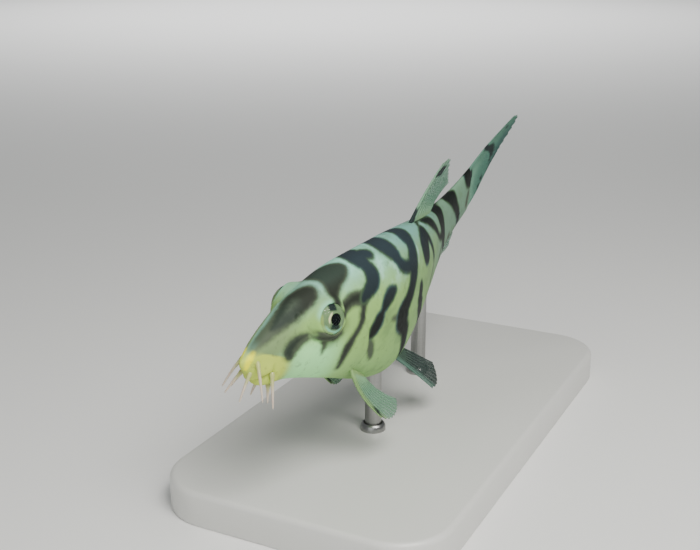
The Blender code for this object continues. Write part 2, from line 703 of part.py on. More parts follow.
def build_stand(fish, guides, pose_matrix, base_material, rod_material):
    """A flat base with two sockets, and a rod in each up to the belly and the tail stem."""
    shape = bmesh.new()
    bmesh.ops.create_cube(shape, size=1.0)
    bmesh.ops.scale(shape, verts=shape.verts, vec=(BASE_LENGTH, BASE_WIDTH, BASE_THICKNESS))
    bmesh.ops.translate(shape, verts=shape.verts, vec=(0, 0, BASE_THICKNESS / 2))
    upright = [e for e in shape.edges if abs(e.verts[0].co.z - e.verts[1].co.z) > BASE_THICKNESS / 2]
    bmesh.ops.bevel(shape, geom=upright, offset=BASE_CORNER, segments=6, affect="EDGES", profile=0.5)
    top_edges = [e for e in shape.edges
                 if min(v.co.z for v in e.verts) > BASE_THICKNESS * 0.9]
    bmesh.ops.bevel(shape, geom=top_edges, offset=BASE_EDGE, segments=3, affect="EDGES", profile=0.5)
    mesh = bpy.data.meshes.new("stand_base")
    shape.to_mesh(mesh)
    shape.free()
    base = finish(mesh, "stand_base", fish, base_material, smooth=30.0)
    for name, station in (("front", FRONT_ROD_STATION), ("rear", REAR_ROD_STATION)):
        belly = skin_point(np.array(station), np.array(np.pi), GAP)
        normal = skin_normal(np.array(station), np.array(np.pi))
        top = pose_matrix @ Vector(belly)
        slope = pose_matrix.to_3x3() @ Vector(normal)
        foot = BASE_THICKNESS - SOCKET_DEPTH
        rod("stand_rod_" + name, foot + GAP, top, slope, fish, rod_material)
        hole = bpy.data.meshes.new("rod_socket_" + name)
        shape = bmesh.new()
        bmesh.ops.create_cone(shape, cap_ends=True, segments=ROD_SIDES, radius1=ROD_RADIUS + GAP,
                              radius2=ROD_RADIUS + GAP, depth=2 * SOCKET_DEPTH,
                              matrix=Matrix.Translation((top.x, top.y, BASE_THICKNESS)))
        shape.to_mesh(hole)
        shape.free()
        cut(base, add_cutter(hole, guides))
    base.data.materials.clear()
    base.data.materials.append(base_material)


def main():
    """Clear the scene and build the fish and its stand."""
    for thing in list(bpy.data.objects):
        bpy.data.objects.remove(thing)
    fish = bpy.data.collections.new("yoyo_loach")
    guides = bpy.data.collections.new("cutters")
    bpy.context.scene.collection.children.link(fish)
    bpy.context.scene.collection.children.link(guides)
    turn = Euler([math.radians(a) for a in (POSE_ROLL, POSE_PITCH, POSE_YAW)])
    pose = bpy.data.objects.new("fish_pose", None)
    pose.location = SNOUT_PLACE
    pose.rotation_euler = turn
    guides.objects.link(pose)
    pose_matrix = Matrix.Translation(SNOUT_PLACE) @ turn.to_matrix().to_4x4()
    skin = colour("skin", (0.56, 0.6, 0.42), 0.4)
    fins = colour("fins", (0.55, 0.6, 0.55), 0.45)
    barbels = colour("barbels", (0.8, 0.62, 0.5), 0.45)
    eyes = colour("eyes", (0.03, 0.03, 0.03), 0.1)
    base_finish = colour("stand_base", (0.75, 0.75, 0.72), 0.5)
    rod_finish = colour("stand_rods", (0.6, 0.6, 0.6), 0.3, 1.0)
    build_body(fish, guides, pose, skin)
    build_fins(fish, pose, fins)
    build_face(fish, guides, pose, eyes, barbels)
    build_stand(fish, guides, pose_matrix, base_finish, rod_finish)


main()
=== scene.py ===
"""A yoyo loach as a life-size museum model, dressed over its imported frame.

Metres, +Z up. The fish heads towards -X with its left side towards -Y.
"""

import logging
import math
from dataclasses import dataclass, field
from enum import Enum
from typing import Optional, Sequence, Union

import bmesh
import bpy
import numpy as np
from bpy.types import ID, Material, Mesh, NodeSocket, NodeTree, Object
from mathutils import Euler, Matrix, Vector


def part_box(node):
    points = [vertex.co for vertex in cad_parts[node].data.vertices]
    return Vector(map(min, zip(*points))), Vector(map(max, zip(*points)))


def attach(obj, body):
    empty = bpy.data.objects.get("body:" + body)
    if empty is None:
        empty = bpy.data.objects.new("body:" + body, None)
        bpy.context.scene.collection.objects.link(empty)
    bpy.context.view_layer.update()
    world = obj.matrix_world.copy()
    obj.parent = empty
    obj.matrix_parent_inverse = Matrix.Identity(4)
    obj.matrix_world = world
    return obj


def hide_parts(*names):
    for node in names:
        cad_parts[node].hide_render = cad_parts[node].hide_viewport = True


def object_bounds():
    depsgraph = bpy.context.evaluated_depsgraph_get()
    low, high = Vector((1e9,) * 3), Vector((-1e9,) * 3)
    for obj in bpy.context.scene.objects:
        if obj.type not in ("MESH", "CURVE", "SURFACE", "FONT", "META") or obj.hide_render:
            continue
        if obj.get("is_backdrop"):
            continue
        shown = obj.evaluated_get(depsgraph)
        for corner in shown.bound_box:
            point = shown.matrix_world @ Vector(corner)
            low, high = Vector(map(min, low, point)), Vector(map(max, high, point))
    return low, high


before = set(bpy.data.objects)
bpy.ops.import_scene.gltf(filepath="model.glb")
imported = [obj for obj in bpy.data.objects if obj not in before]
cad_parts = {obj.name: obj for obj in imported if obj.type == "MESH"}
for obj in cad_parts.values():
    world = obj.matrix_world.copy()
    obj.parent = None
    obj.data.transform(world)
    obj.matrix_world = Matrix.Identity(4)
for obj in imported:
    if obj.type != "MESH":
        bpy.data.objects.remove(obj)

LOG = logging.getLogger("yoyo_loach")
MM = 0.001
Array = np.ndarray
Number = Union[float, Array]


def smoothstep(low: Number, high: Number, value: Number) -> Array:
    """0 below low, 1 above high and a smooth rise between."""
    share = np.clip((value - low) / (high - low), 0.0, 1.0)
    return share * share * (3.0 - 2.0 * share)


def bump(offset: Number, width: float) -> Array:
    """A round hill of height 1 at no offset, fading over the width."""
    return np.exp(-((offset / width) ** 2))


def between(ends: Sequence, share: Number) -> Array:
    """What lies a share of the way from the first of two ends to the second."""
    return ends[0] + (ends[1] - ends[0]) * share


def unit(vectors: Array) -> Array:
    """Vectors scaled to length 1."""
    return vectors / np.maximum(np.linalg.norm(vectors, axis=-1, keepdims=True), 1e-12)


def spline(knots: Array, values: Array, at: Number) -> Array:
    """Cubic curve through the values at the knots, read at some places.

    Args:
        knots: Where the values are known.
        values: The values there.
        at: Where the curve is read.

    Returns:
        The values read.
    """
    slopes = np.gradient(values, knots)
    index = np.clip(np.searchsorted(knots, at) - 1, 0, len(knots) - 2)
    width = knots[index + 1] - knots[index]
    t = (at - knots[index]) / width
    start = (1 + 2 * t) * (1 - t) ** 2 * values[index] + t * (1 - t) ** 2 * width * slopes[index]
    end = t * t * (3 - 2 * t) * values[index + 1] + t * t * (t - 1) * width * slopes[index + 1]
    return start + end


@dataclass(frozen=True)
class Bend:
    """A bend of the backbone in degrees, spread between two stations in millimetres."""

    degrees: float
    start: float
    end: float

    def at(self, station: Array) -> Array:
        """How far the bend has turned at each station, in radians."""
        return math.radians(self.degrees) * smoothstep(self.start * MM, self.end * MM, station)


@dataclass
class Backbone:
    """The bent line of the body in the row frame, with the right and up directions along it."""

    side_bends: tuple = (Bend(21.0, 18, 50), Bend(-12.3, 48, 76))
    lifts: tuple = (Bend(7.0, 11, 46), Bend(19.4, 46, 84))
    twist: Bend = Bend(3.3, 23, 76)
    attitude: tuple = (8.0, 6.5, -7.6)
    snout: tuple = (-44 * MM, 2 * MM, 29.5 * MM)
    reach: float = 104 * MM
    table_rows: int = 521

    def __post_init__(self) -> None:
        """Work out the tables of points and axes."""
        self.at = np.linspace(0.0, self.reach, self.table_rows)
        yaw = sum(bend.at(self.at) for bend in self.side_bends)
        lift = sum(bend.at(self.at) for bend in self.lifts)
        twist = self.twist.at(self.at)[:, None]
        aft = np.stack([np.cos(yaw) * np.cos(lift), np.sin(yaw) * np.cos(lift), np.sin(lift)], 1)
        level_right = np.stack([-np.sin(yaw), np.cos(yaw), 0 * yaw], 1)
        level_up = np.cross(aft, level_right)
        steps = (aft[1:] + aft[:-1]) / 2 * (self.at[1] - self.at[0])
        points = np.vstack([np.zeros(3), np.cumsum(steps, 0)])
        turn = np.array(Euler([math.radians(a) for a in self.attitude]).to_matrix())
        self.points = points @ turn.T + np.array(self.snout)
        self.right = (level_right * np.cos(twist) + level_up * np.sin(twist)) @ turn.T
        self.up = (level_up * np.cos(twist) - level_right * np.sin(twist)) @ turn.T

    def read(self, table: Array, station: Array) -> Array:
        """A table read at some stations."""
        return np.stack([np.interp(station, self.at, table[:, k]) for k in range(3)], -1)

    def place(self, station: Number, side: Number, height: Number) -> Array:
        """Points at some stations, so far to the right of the backbone and so far above it.

        Args:
            station: Stations.
            side: Distance to the right.
            height: Distance above.

        Returns:
            The points.
        """
        station, side, height = np.broadcast_arrays(station, side, height)
        return (self.read(self.points, station) + self.read(self.right, station) * side[..., None]
                + self.read(self.up, station) * height[..., None])

    def direction(self, station: Number, aft: Number, right: Number, up: Number) -> Array:
        """Unit directions given by their shares along the body's own axes.

        Args:
            station: Stations.
            aft: Share aft.
            right: Share right.
            up: Share up.

        Returns:
            The directions.
        """
        to_right, to_up = self.read(self.right, station), self.read(self.up, station)
        to_aft = np.cross(to_right, to_up)
        return unit(to_aft * np.expand_dims(aft, -1) + to_right * np.expand_dims(right, -1)
                    + to_up * np.expand_dims(up, -1))


class Side(Enum):
    """The two sides of the fish."""

    LEFT = -1
    RIGHT = 1

    @property
    def label(self) -> str:
        """The side's name in node and piece names."""
        return self.name.lower()


@dataclass
class Eyeball:
    """Where an eye sits in the head and how wide and deep its ball is."""

    wide: float = 2.1 * MM
    deep: float = 1.5 * MM
    pupil: tuple = (11.6 * MM, 5.0 * MM, 3.0 * MM)
    tilt: float = math.radians(16.5)
    turn: float = math.radians(15.0)

    @property
    def axis(self) -> Array:
        """The way the right eye looks, as shares aft, right and up.

        Returns:
            The shares.
        """
        flat = math.cos(self.turn)
        return np.array([-math.sin(self.turn), flat * math.cos(self.tilt),
                         flat * math.sin(self.tilt)])

    @property
    def centre(self) -> Array:
        """Station, side and height of the ball's centre."""
        return np.array(self.pupil) - self.deep * self.axis

    def matrix(self, spine: Backbone, side: Side) -> Matrix:
        """The matrix that takes a unit ball, looking along +Z, to the eyeball of one side.

        Args:
            spine: The backbone.
            side: The side.

        Returns:
            The matrix.
        """
        station, across, height = self.centre
        centre = Vector(spine.place(np.array(station), side.value * across, height))
        look = Vector(spine.direction(np.array(station), self.axis[0], side.value * self.axis[1],
                                      self.axis[2]))
        turn = Vector((0, 0, 1)).rotation_difference(look).to_matrix().to_4x4()
        return Matrix.Translation(centre) @ turn @ Matrix.Diagonal((self.wide, self.wide,
                                                                    self.deep, 1.0))


@dataclass
class BodyForm:
    """The skin's shape: sections along the backbone with lips, orbits and gill covers on them."""

    spine: Backbone
    eye: Eyeball
    # Station, top, bottom and half width in millimetres
    rows: tuple = (
        (0.0, -2.3, -2.3, 0.0), (1.0, -1.1, -3.6, 0.75), (2.3, 0.2, -4.6, 1.25),
        (4.6, 2.0, -5.9, 2.1), (8.0, 4.3, -5.9, 3.05), (12.0, 6.2, -6.6, 3.9),
        (17.0, 8.0, -7.8, 4.6), (21.5, 8.9, -9.2, 4.9), (27.0, 9.6, -10.8, 5.05),
        (32.0, 9.9, -11.5, 4.95), (38.0, 9.7, -10.3, 4.15), (44.0, 8.8, -8.2, 3.5),
        (50.0, 7.6, -6.7, 3.1), (57.0, 6.3, -5.4, 2.6), (63.0, 5.4, -4.8, 1.95),
        (70.0, 4.9, -4.4, 1.3), (76.0, 5.0, -4.5, 0.7))
    length: float = 76 * MM
    widest_height: float = -1.2 * MM
    back_roundness: float = 0.95
    belly_roundness: float = 0.78
    orbit_radius: float = 2.1 * MM * math.sin(math.radians(63.0))
    orbit_sink: float = 0.8 * MM
    orbit_rim: float = 0.1 * MM
    orbit_edge: tuple = (-0.15 * MM, 0.1 * MM)
    orbit_reach: tuple = (0.1 * MM, 1.5 * MM)
    orbit_depths: tuple = (-3.2 * MM, -1.6 * MM)
    mouth_front: float = 2.5 * MM
    mouth_corner: float = 4.5 * MM
    mouth_half_width: float = 1.75 * MM
    lip_height: float = 0.5 * MM
    lip_width: float = 0.5 * MM
    lip_offset: float = 0.68 * MM
    gill_angles: tuple = (62.0, 105.0, 158.0)
    gill_edge: tuple = (18.3, 20.6, 16.6)
    gill_step: float = 0.2 * MM
    gill_fade: float = math.radians(11.0)
    nostril_station: float = 7.9 * MM
    nostril_angle: float = math.radians(38.0)
    # Place aft of the nostril's middle, depth and width of its front and rear pit
    nostril_pits: tuple = ((-0.3 * MM, 0.24 * MM, 0.24 * MM), (0.42 * MM, 0.18 * MM, 0.22 * MM))
    slit_ends: tuple = ((9.0 * MM, 9.8 * MM), (13.6 * MM, 14.6 * MM))
    slit_start: float = 9.2 * MM
    slit_length: float = 5.2 * MM
    slit_depth: float = 0.26 * MM
    pore_pitch: float = 1.3 * MM

    def __post_init__(self) -> None:
        """Keep the outline's columns as arrays."""
        table = np.array(self.rows) * MM
        self.knots = np.sqrt(table[:, 0])
        self.columns = {"top": table[:, 1], "bottom": table[:, 2], "half_width": table[:, 3]}

    def profile(self, name: str, station: Number) -> Array:
        """One column of the outline, read anywhere along the body."""
        return spline(self.knots, self.columns[name], np.sqrt(np.clip(station, 0.0, self.length)))

    def section(self, station: Array, angle: Array, grow: float = 0.0) -> tuple:
        """Side and height of the plain skin at stations and angles round the body.

        Args:
            station: Lengths from the snout along the backbone.
            angle: 0 on the back, positive down the right side, pi under the belly.
            grow: How far outside the skin.

        Returns:
            The side and the height.
        """
        top, bottom = self.profile("top", station) + grow, self.profile("bottom", station) - grow
        width = self.profile("half_width", station) + grow
        middle = np.clip(self.widest_height, bottom * 0.9 + top * 0.1, bottom * 0.3 + top * 0.7)
        share = (1 - np.cos(angle)) / 2
        power = self.back_roundness + (self.belly_roundness - self.back_roundness) * share
        side = width * np.sign(np.sin(angle)) * np.abs(np.sin(angle)) ** power
        reach = np.where(np.cos(angle) > 0, top - middle, middle - bottom)
        return side, middle + reach * np.cos(angle)

    def gill_station(self, angle: Array) -> Array:
        """Station of the gill cover's rear edge at an angle down the side.

        Args:
            angle: Angles round the body.

        Returns:
            The stations.
        """
        knots = np.radians(np.array(self.gill_angles))
        return spline(knots, np.array(self.gill_edge) * MM,
                      np.clip(np.abs(angle), knots[0], knots[-1]))

    def mouth_station(self, side: Array) -> Array:
        """Station of the crescent line of the mouth so far from the middle."""
        return (self.mouth_front + (self.mouth_corner - self.mouth_front)
                * (side / self.mouth_half_width) ** 2)

    def lips(self, station: Array, angle: Array, side: Array) -> Array:
        """Height of the two fleshy lips, parted by the line of the mouth.

        Args:
            station: Stations.
            angle: Angles round the body.
            side: Distance to the right.

        Returns:
            The height.
        """
        under = smoothstep(math.radians(97.0), math.radians(132.0), np.abs(angle))
        across = 1 - smoothstep(self.mouth_half_width * 0.9, self.mouth_half_width * 1.35,
                                np.abs(side))
        edge = np.clip(side, -self.mouth_half_width, self.mouth_half_width)
        past = station - self.mouth_station(edge)
        lips = bump(past + self.lip_offset, self.lip_width)
        lips = lips + 0.9 * bump(past - self.lip_offset, self.lip_width)
        return under * across * (self.lip_height * lips - 0.42 * MM * bump(past, 0.22 * MM))

    def gill_cover(self, station: Array, angle: Array) -> Array:
        """Height of the gill cover above the shoulder, with the opening behind its edge.

        Args:
            station: Stations.
            angle: Angles round the body.

        Returns:
            The height.
        """
        turn = np.abs(angle)
        first, last = math.radians(self.gill_angles[0]), math.radians(self.gill_angles[-1])
        cover = smoothstep(first - self.gill_fade, first + self.gill_fade, turn)
        cover = cover * (1 - smoothstep(last - self.gill_fade, last + self.gill_fade, turn))
        past = station - self.gill_station(angle)
        raised = smoothstep(-6.0 * MM, -1.5 * MM, past)
        raised = raised * (1 - smoothstep(-0.3 * MM, 0.5 * MM, past))
        groove = 0.07 * MM * bump(past - 0.5 * MM, 0.26 * MM)
        return cover * (self.gill_step * raised - groove)

    def nostrils(self, station: Array, angle: Array) -> Array:
        """Two pits on each side of the snout, the front one behind a raised flap.

        Args:
            station: Stations.
            angle: Angles round the body.

        Returns:
            The height.
        """
        around = (np.abs(angle) - self.nostril_angle) * 3.6 * MM
        past = station - self.nostril_station
        pits = sum(depth * bump(np.hypot(past - place, around), width)
                   for place, depth, width in self.nostril_pits)
        front = np.hypot(past - self.nostril_pits[0][0], around)
        rim = 0.08 * MM * bump(front - 0.5 * MM, 0.16 * MM)
        flap = 0.14 * MM * bump(past - 0.06 * MM, 0.13 * MM)
        return rim + flap * bump(around, 0.4 * MM) - pits

    def cheek_slit(self, station: Array, angle: Array) -> Array:
        """The crescent groove under each eye.

        Args:
            station: Stations.
            angle: Angles round the body.

        Returns:
            The height.
        """
        share = np.clip((station - self.slit_start) / self.slit_length, 0.0, 1.0)
        line = math.radians(77.0) + math.radians(7.0) * np.sin(np.pi * share)
        away = (np.abs(angle) - line) * 5.2 * MM
        front, rear = self.slit_ends
        ends = smoothstep(*front, station) * (1 - smoothstep(*rear, station))
        fold = 0.08 * MM * bump(away - 0.4 * MM, 0.3 * MM)
        return ends * (fold - self.slit_depth * bump(away, 0.17 * MM))

    def lateral_line(self, station: Array, angle: Array) -> Array:
        """A faint raised line of pores along the middle of each side.

        Args:
            station: Stations.
            angle: Angles round the body.

        Returns:
            The height.
        """
        away = (np.abs(angle) - math.radians(86.0)) * 5.5 * MM
        run = smoothstep(21 * MM, 25 * MM, station) * (1 - smoothstep(70 * MM, 75 * MM, station))
        pores = 0.5 + 0.5 * np.cos(station * 2 * np.pi / self.pore_pitch)
        return run * bump(away, 0.22 * MM) * (0.05 + 0.03 * pores) * MM

    def orbits(self, station: Array, side: Array, height: Array) -> tuple:
        """Push the skin out into a mound and a low rim round the nearer eye.

        Args:
            station: Stations.
            side: Distance to the right.
            height: Height above the backbone.

        Returns:
            The moved station, side and height.
        """
        place = np.stack([station, np.abs(side), height], -1)
        away = place - self.eye.centre
        along = away @ self.eye.axis
        off_axis = np.sqrt(np.maximum(np.sum(away ** 2, -1) - along ** 2, 0.0))
        edge = off_axis - self.orbit_radius
        inside = np.minimum(off_axis, self.orbit_radius) / self.eye.wide
        lid = self.eye.deep * np.sqrt(1.0 - inside ** 2) - self.orbit_sink
        lid = lid + (self.orbit_sink + self.orbit_rim) * smoothstep(*self.orbit_edge, edge)
        share = (1 - smoothstep(*self.orbit_reach, edge)) * smoothstep(*self.orbit_depths, along)
        moved = place + self.eye.axis * (share * np.maximum(lid - along, 0.0))[..., None]
        return moved[..., 0], moved[..., 1] * np.where(side < 0, -1.0, 1.0), moved[..., 2]

    def local(self, station: Number, angle: Number, grow: float = 0.0) -> tuple:
        """Station, side and height of the finished skin.

        Args:
            station: Stations.
            angle: Angles round the body.
            grow: How far outside the skin.

        Returns:
            The three numbers.
        """
        station, angle = np.broadcast_arrays(station, angle)
        side, height = self.section(station, angle, grow)
        rise = (self.lips(station, angle, side) + self.gill_cover(station, angle)
                + self.nostrils(station, angle) + self.cheek_slit(station, angle)
                + self.lateral_line(station, angle))
        outward = unit(np.stack([side, height - self.widest_height], -1) + 1e-9)
        side, height = side + outward[..., 0] * rise, height + outward[..., 1] * rise
        return self.orbits(station, side, height)

    def point(self, station: Number, angle: Number, grow: float = 0.0) -> Array:
        """A point on the finished skin, in the row frame."""
        return self.spine.place(*self.local(station, angle, grow))

    def normal(self, station: Array, angle: Array) -> Array:
        """Outward normal of the plain skin.

        Args:
            station: Stations.
            angle: Angles round the body.

        Returns:
            The unit normals.
        """
        small = 0.05 * MM
        along = self.point(station + small, angle) - self.point(station - small, angle)
        around = self.point(station, angle + 0.01) - self.point(station, angle - 0.01)
        return unit(np.cross(around, along))


class Mark(Enum):
    """The kinds of marks on the skin. Each is an attribute of the skin's mesh."""

    BAR = "bar_distance"
    HEAD = "head_distance"
    FAINT = "faint_distance"
    # A painted highlight, not a mark: the bright streak of reflected light on the upper lip
    GILT = "gilt_distance"


# In millimetres: where distances to marks stop, a degree of the body's girth, and the step
# along a path. A batch is the number of points that are compared at once.
FAR = 4.0
DEGREE = 0.13
STEP = 0.12
BATCH = 4000


def nearest_edge(points: Array, centres: Array, reach: Number) -> Array:
    """Distance in millimetres from points to the nearest of some discs with their own reach.

    Args:
        points: The points.
        centres: Middles of the discs.
        reach: Radii of the discs.

    Returns:
        The distances, negative inside.
    """
    best = np.full(len(points), FAR)
    for start in range(0, len(points), BATCH):
        part = points[start:start + BATCH]
        square = (np.sum(part ** 2, 1)[:, None] + np.sum(centres ** 2, 1)[None, :]
                  - 2 * part @ centres.T)
        gap = np.sqrt(np.maximum(square, 0.0)) - reach
        best[start:start + BATCH] = np.minimum(FAR, gap.min(1))
    return best


@dataclass(frozen=True)
class Marking:
    """A mark on the skin: dark pigment, or a painted highlight on the lip.

    Stations are in millimetres and angles in degrees down from the back. Angles are negative on
    the left. A mark on both sides is drawn with positive angles and lies further aft by its
    drift, in millimetres, on the right flank.
    """

    kind: Mark
    path: tuple
    both_sides: bool = False
    drift: float = 0.0

    def sides(self) -> tuple:
        """The sides on which the mark is drawn."""
        return (Side.LEFT, Side.RIGHT) if self.both_sides else (Side.LEFT,)

    def travel(self, rows: Array) -> Array:
        """Way along rows of stations and angles, in millimetres from the first row."""
        steps = np.hypot(np.diff(rows[:, 0]), np.diff(rows[:, 1]) * DEGREE)
        return np.concatenate([[0.0], np.cumsum(steps)])

    def turned(self, rows: Array, side: Side) -> Array:
        """Rows that start with station and angle, moved to one side.

        Args:
            rows: The rows.
            side: The side.

        Returns:
            The moved rows.
        """
        rows = rows.copy()
        if self.both_sides:
            rows[:, 1] *= side.value
            if side is Side.RIGHT:
                rows[:, 0] += self.drift * smoothstep(8.0, 55.0, rows[:, 1])
        return rows

    def centres(self, form: BodyForm, rows: Array) -> Array:
        """Places of the rows on the skin, in millimetres."""
        station = np.clip(rows[:, 0] * MM, 0.1 * MM, form.length)
        return form.point(station, np.radians(rows[:, 1])) / MM

    def gap(self, form: BodyForm, points: Array, flat: Array, side: Side) -> Array:
        """Distance in millimetres from points to the mark's edge, below 0 inside it."""
        raise NotImplementedError


@dataclass(frozen=True)
class Stroke(Marking):
    """A mark drawn along a path of stations, angles and half widths in millimetres."""

    def gap(self, form: BodyForm, points: Array, flat: Array, side: Side) -> Array:
        """Distance in millimetres from points to the stroke's edge, below 0 inside it.

        Args:
            form: The skin's shape.
            points: Points in millimetres.
            flat: Their stations in millimetres and angles in degrees.
            side: The side on which the mark is drawn.

        Returns:
            The distances.
        """
        rows = np.array(self.path, float)
        at = self.travel(rows)
        fine = np.linspace(0.0, at[-1], max(int(at[-1] / STEP), 2))
        rows = self.turned(np.stack([spline(at, rows[:, k], fine) for k in range(3)], 1), side)
        return nearest_edge(points, self.centres(form, rows), rows[None, :, 2])


@dataclass(frozen=True)
class Patch(Marking):
    """A mark with a closed outline of stations and angles."""

    def outline(self, side: Side) -> Array:
        """The outline as a close row of stations and angles.

        Args:
            side: The side.

        Returns:
            The rows.
        """
        rows = np.array(self.path + self.path[:1], float)
        wide = np.vstack([rows[-4:-1], rows, rows[1:4]])
        at = self.travel(wide)
        first, last = at[3], at[2 + len(rows)]
        fine = np.linspace(first, last, max(int((last - first) / STEP), 8))
        return self.turned(np.stack([spline(at, wide[:, k], fine) for k in range(2)], 1), side)

    def gap(self, form: BodyForm, points: Array, flat: Array, side: Side) -> Array:
        """Distance in millimetres from points to the outline, below 0 inside it.

        Args:
            form: The skin's shape.
            points: Points in millimetres.
            flat: Their stations in millimetres and angles in degrees.
            side: The side on which the mark is drawn.

        Returns:
            The distances.
        """
        rows = self.outline(side)
        inside = np.zeros(len(points), bool)
        for (s0, a0), (s1, a1) in zip(rows, np.roll(rows, -1, 0)):
            crosses = (a0 > flat[:, 1]) != (a1 > flat[:, 1])
            rise = a1 - a0 if a1 != a0 else 1.0
            inside ^= crosses & (flat[:, 0] < s0 + (flat[:, 1] - a0) * (s1 - s0) / rise)
        return nearest_edge(points, self.centres(form, rows), 0.0) * np.where(inside, -1.0, 1.0)


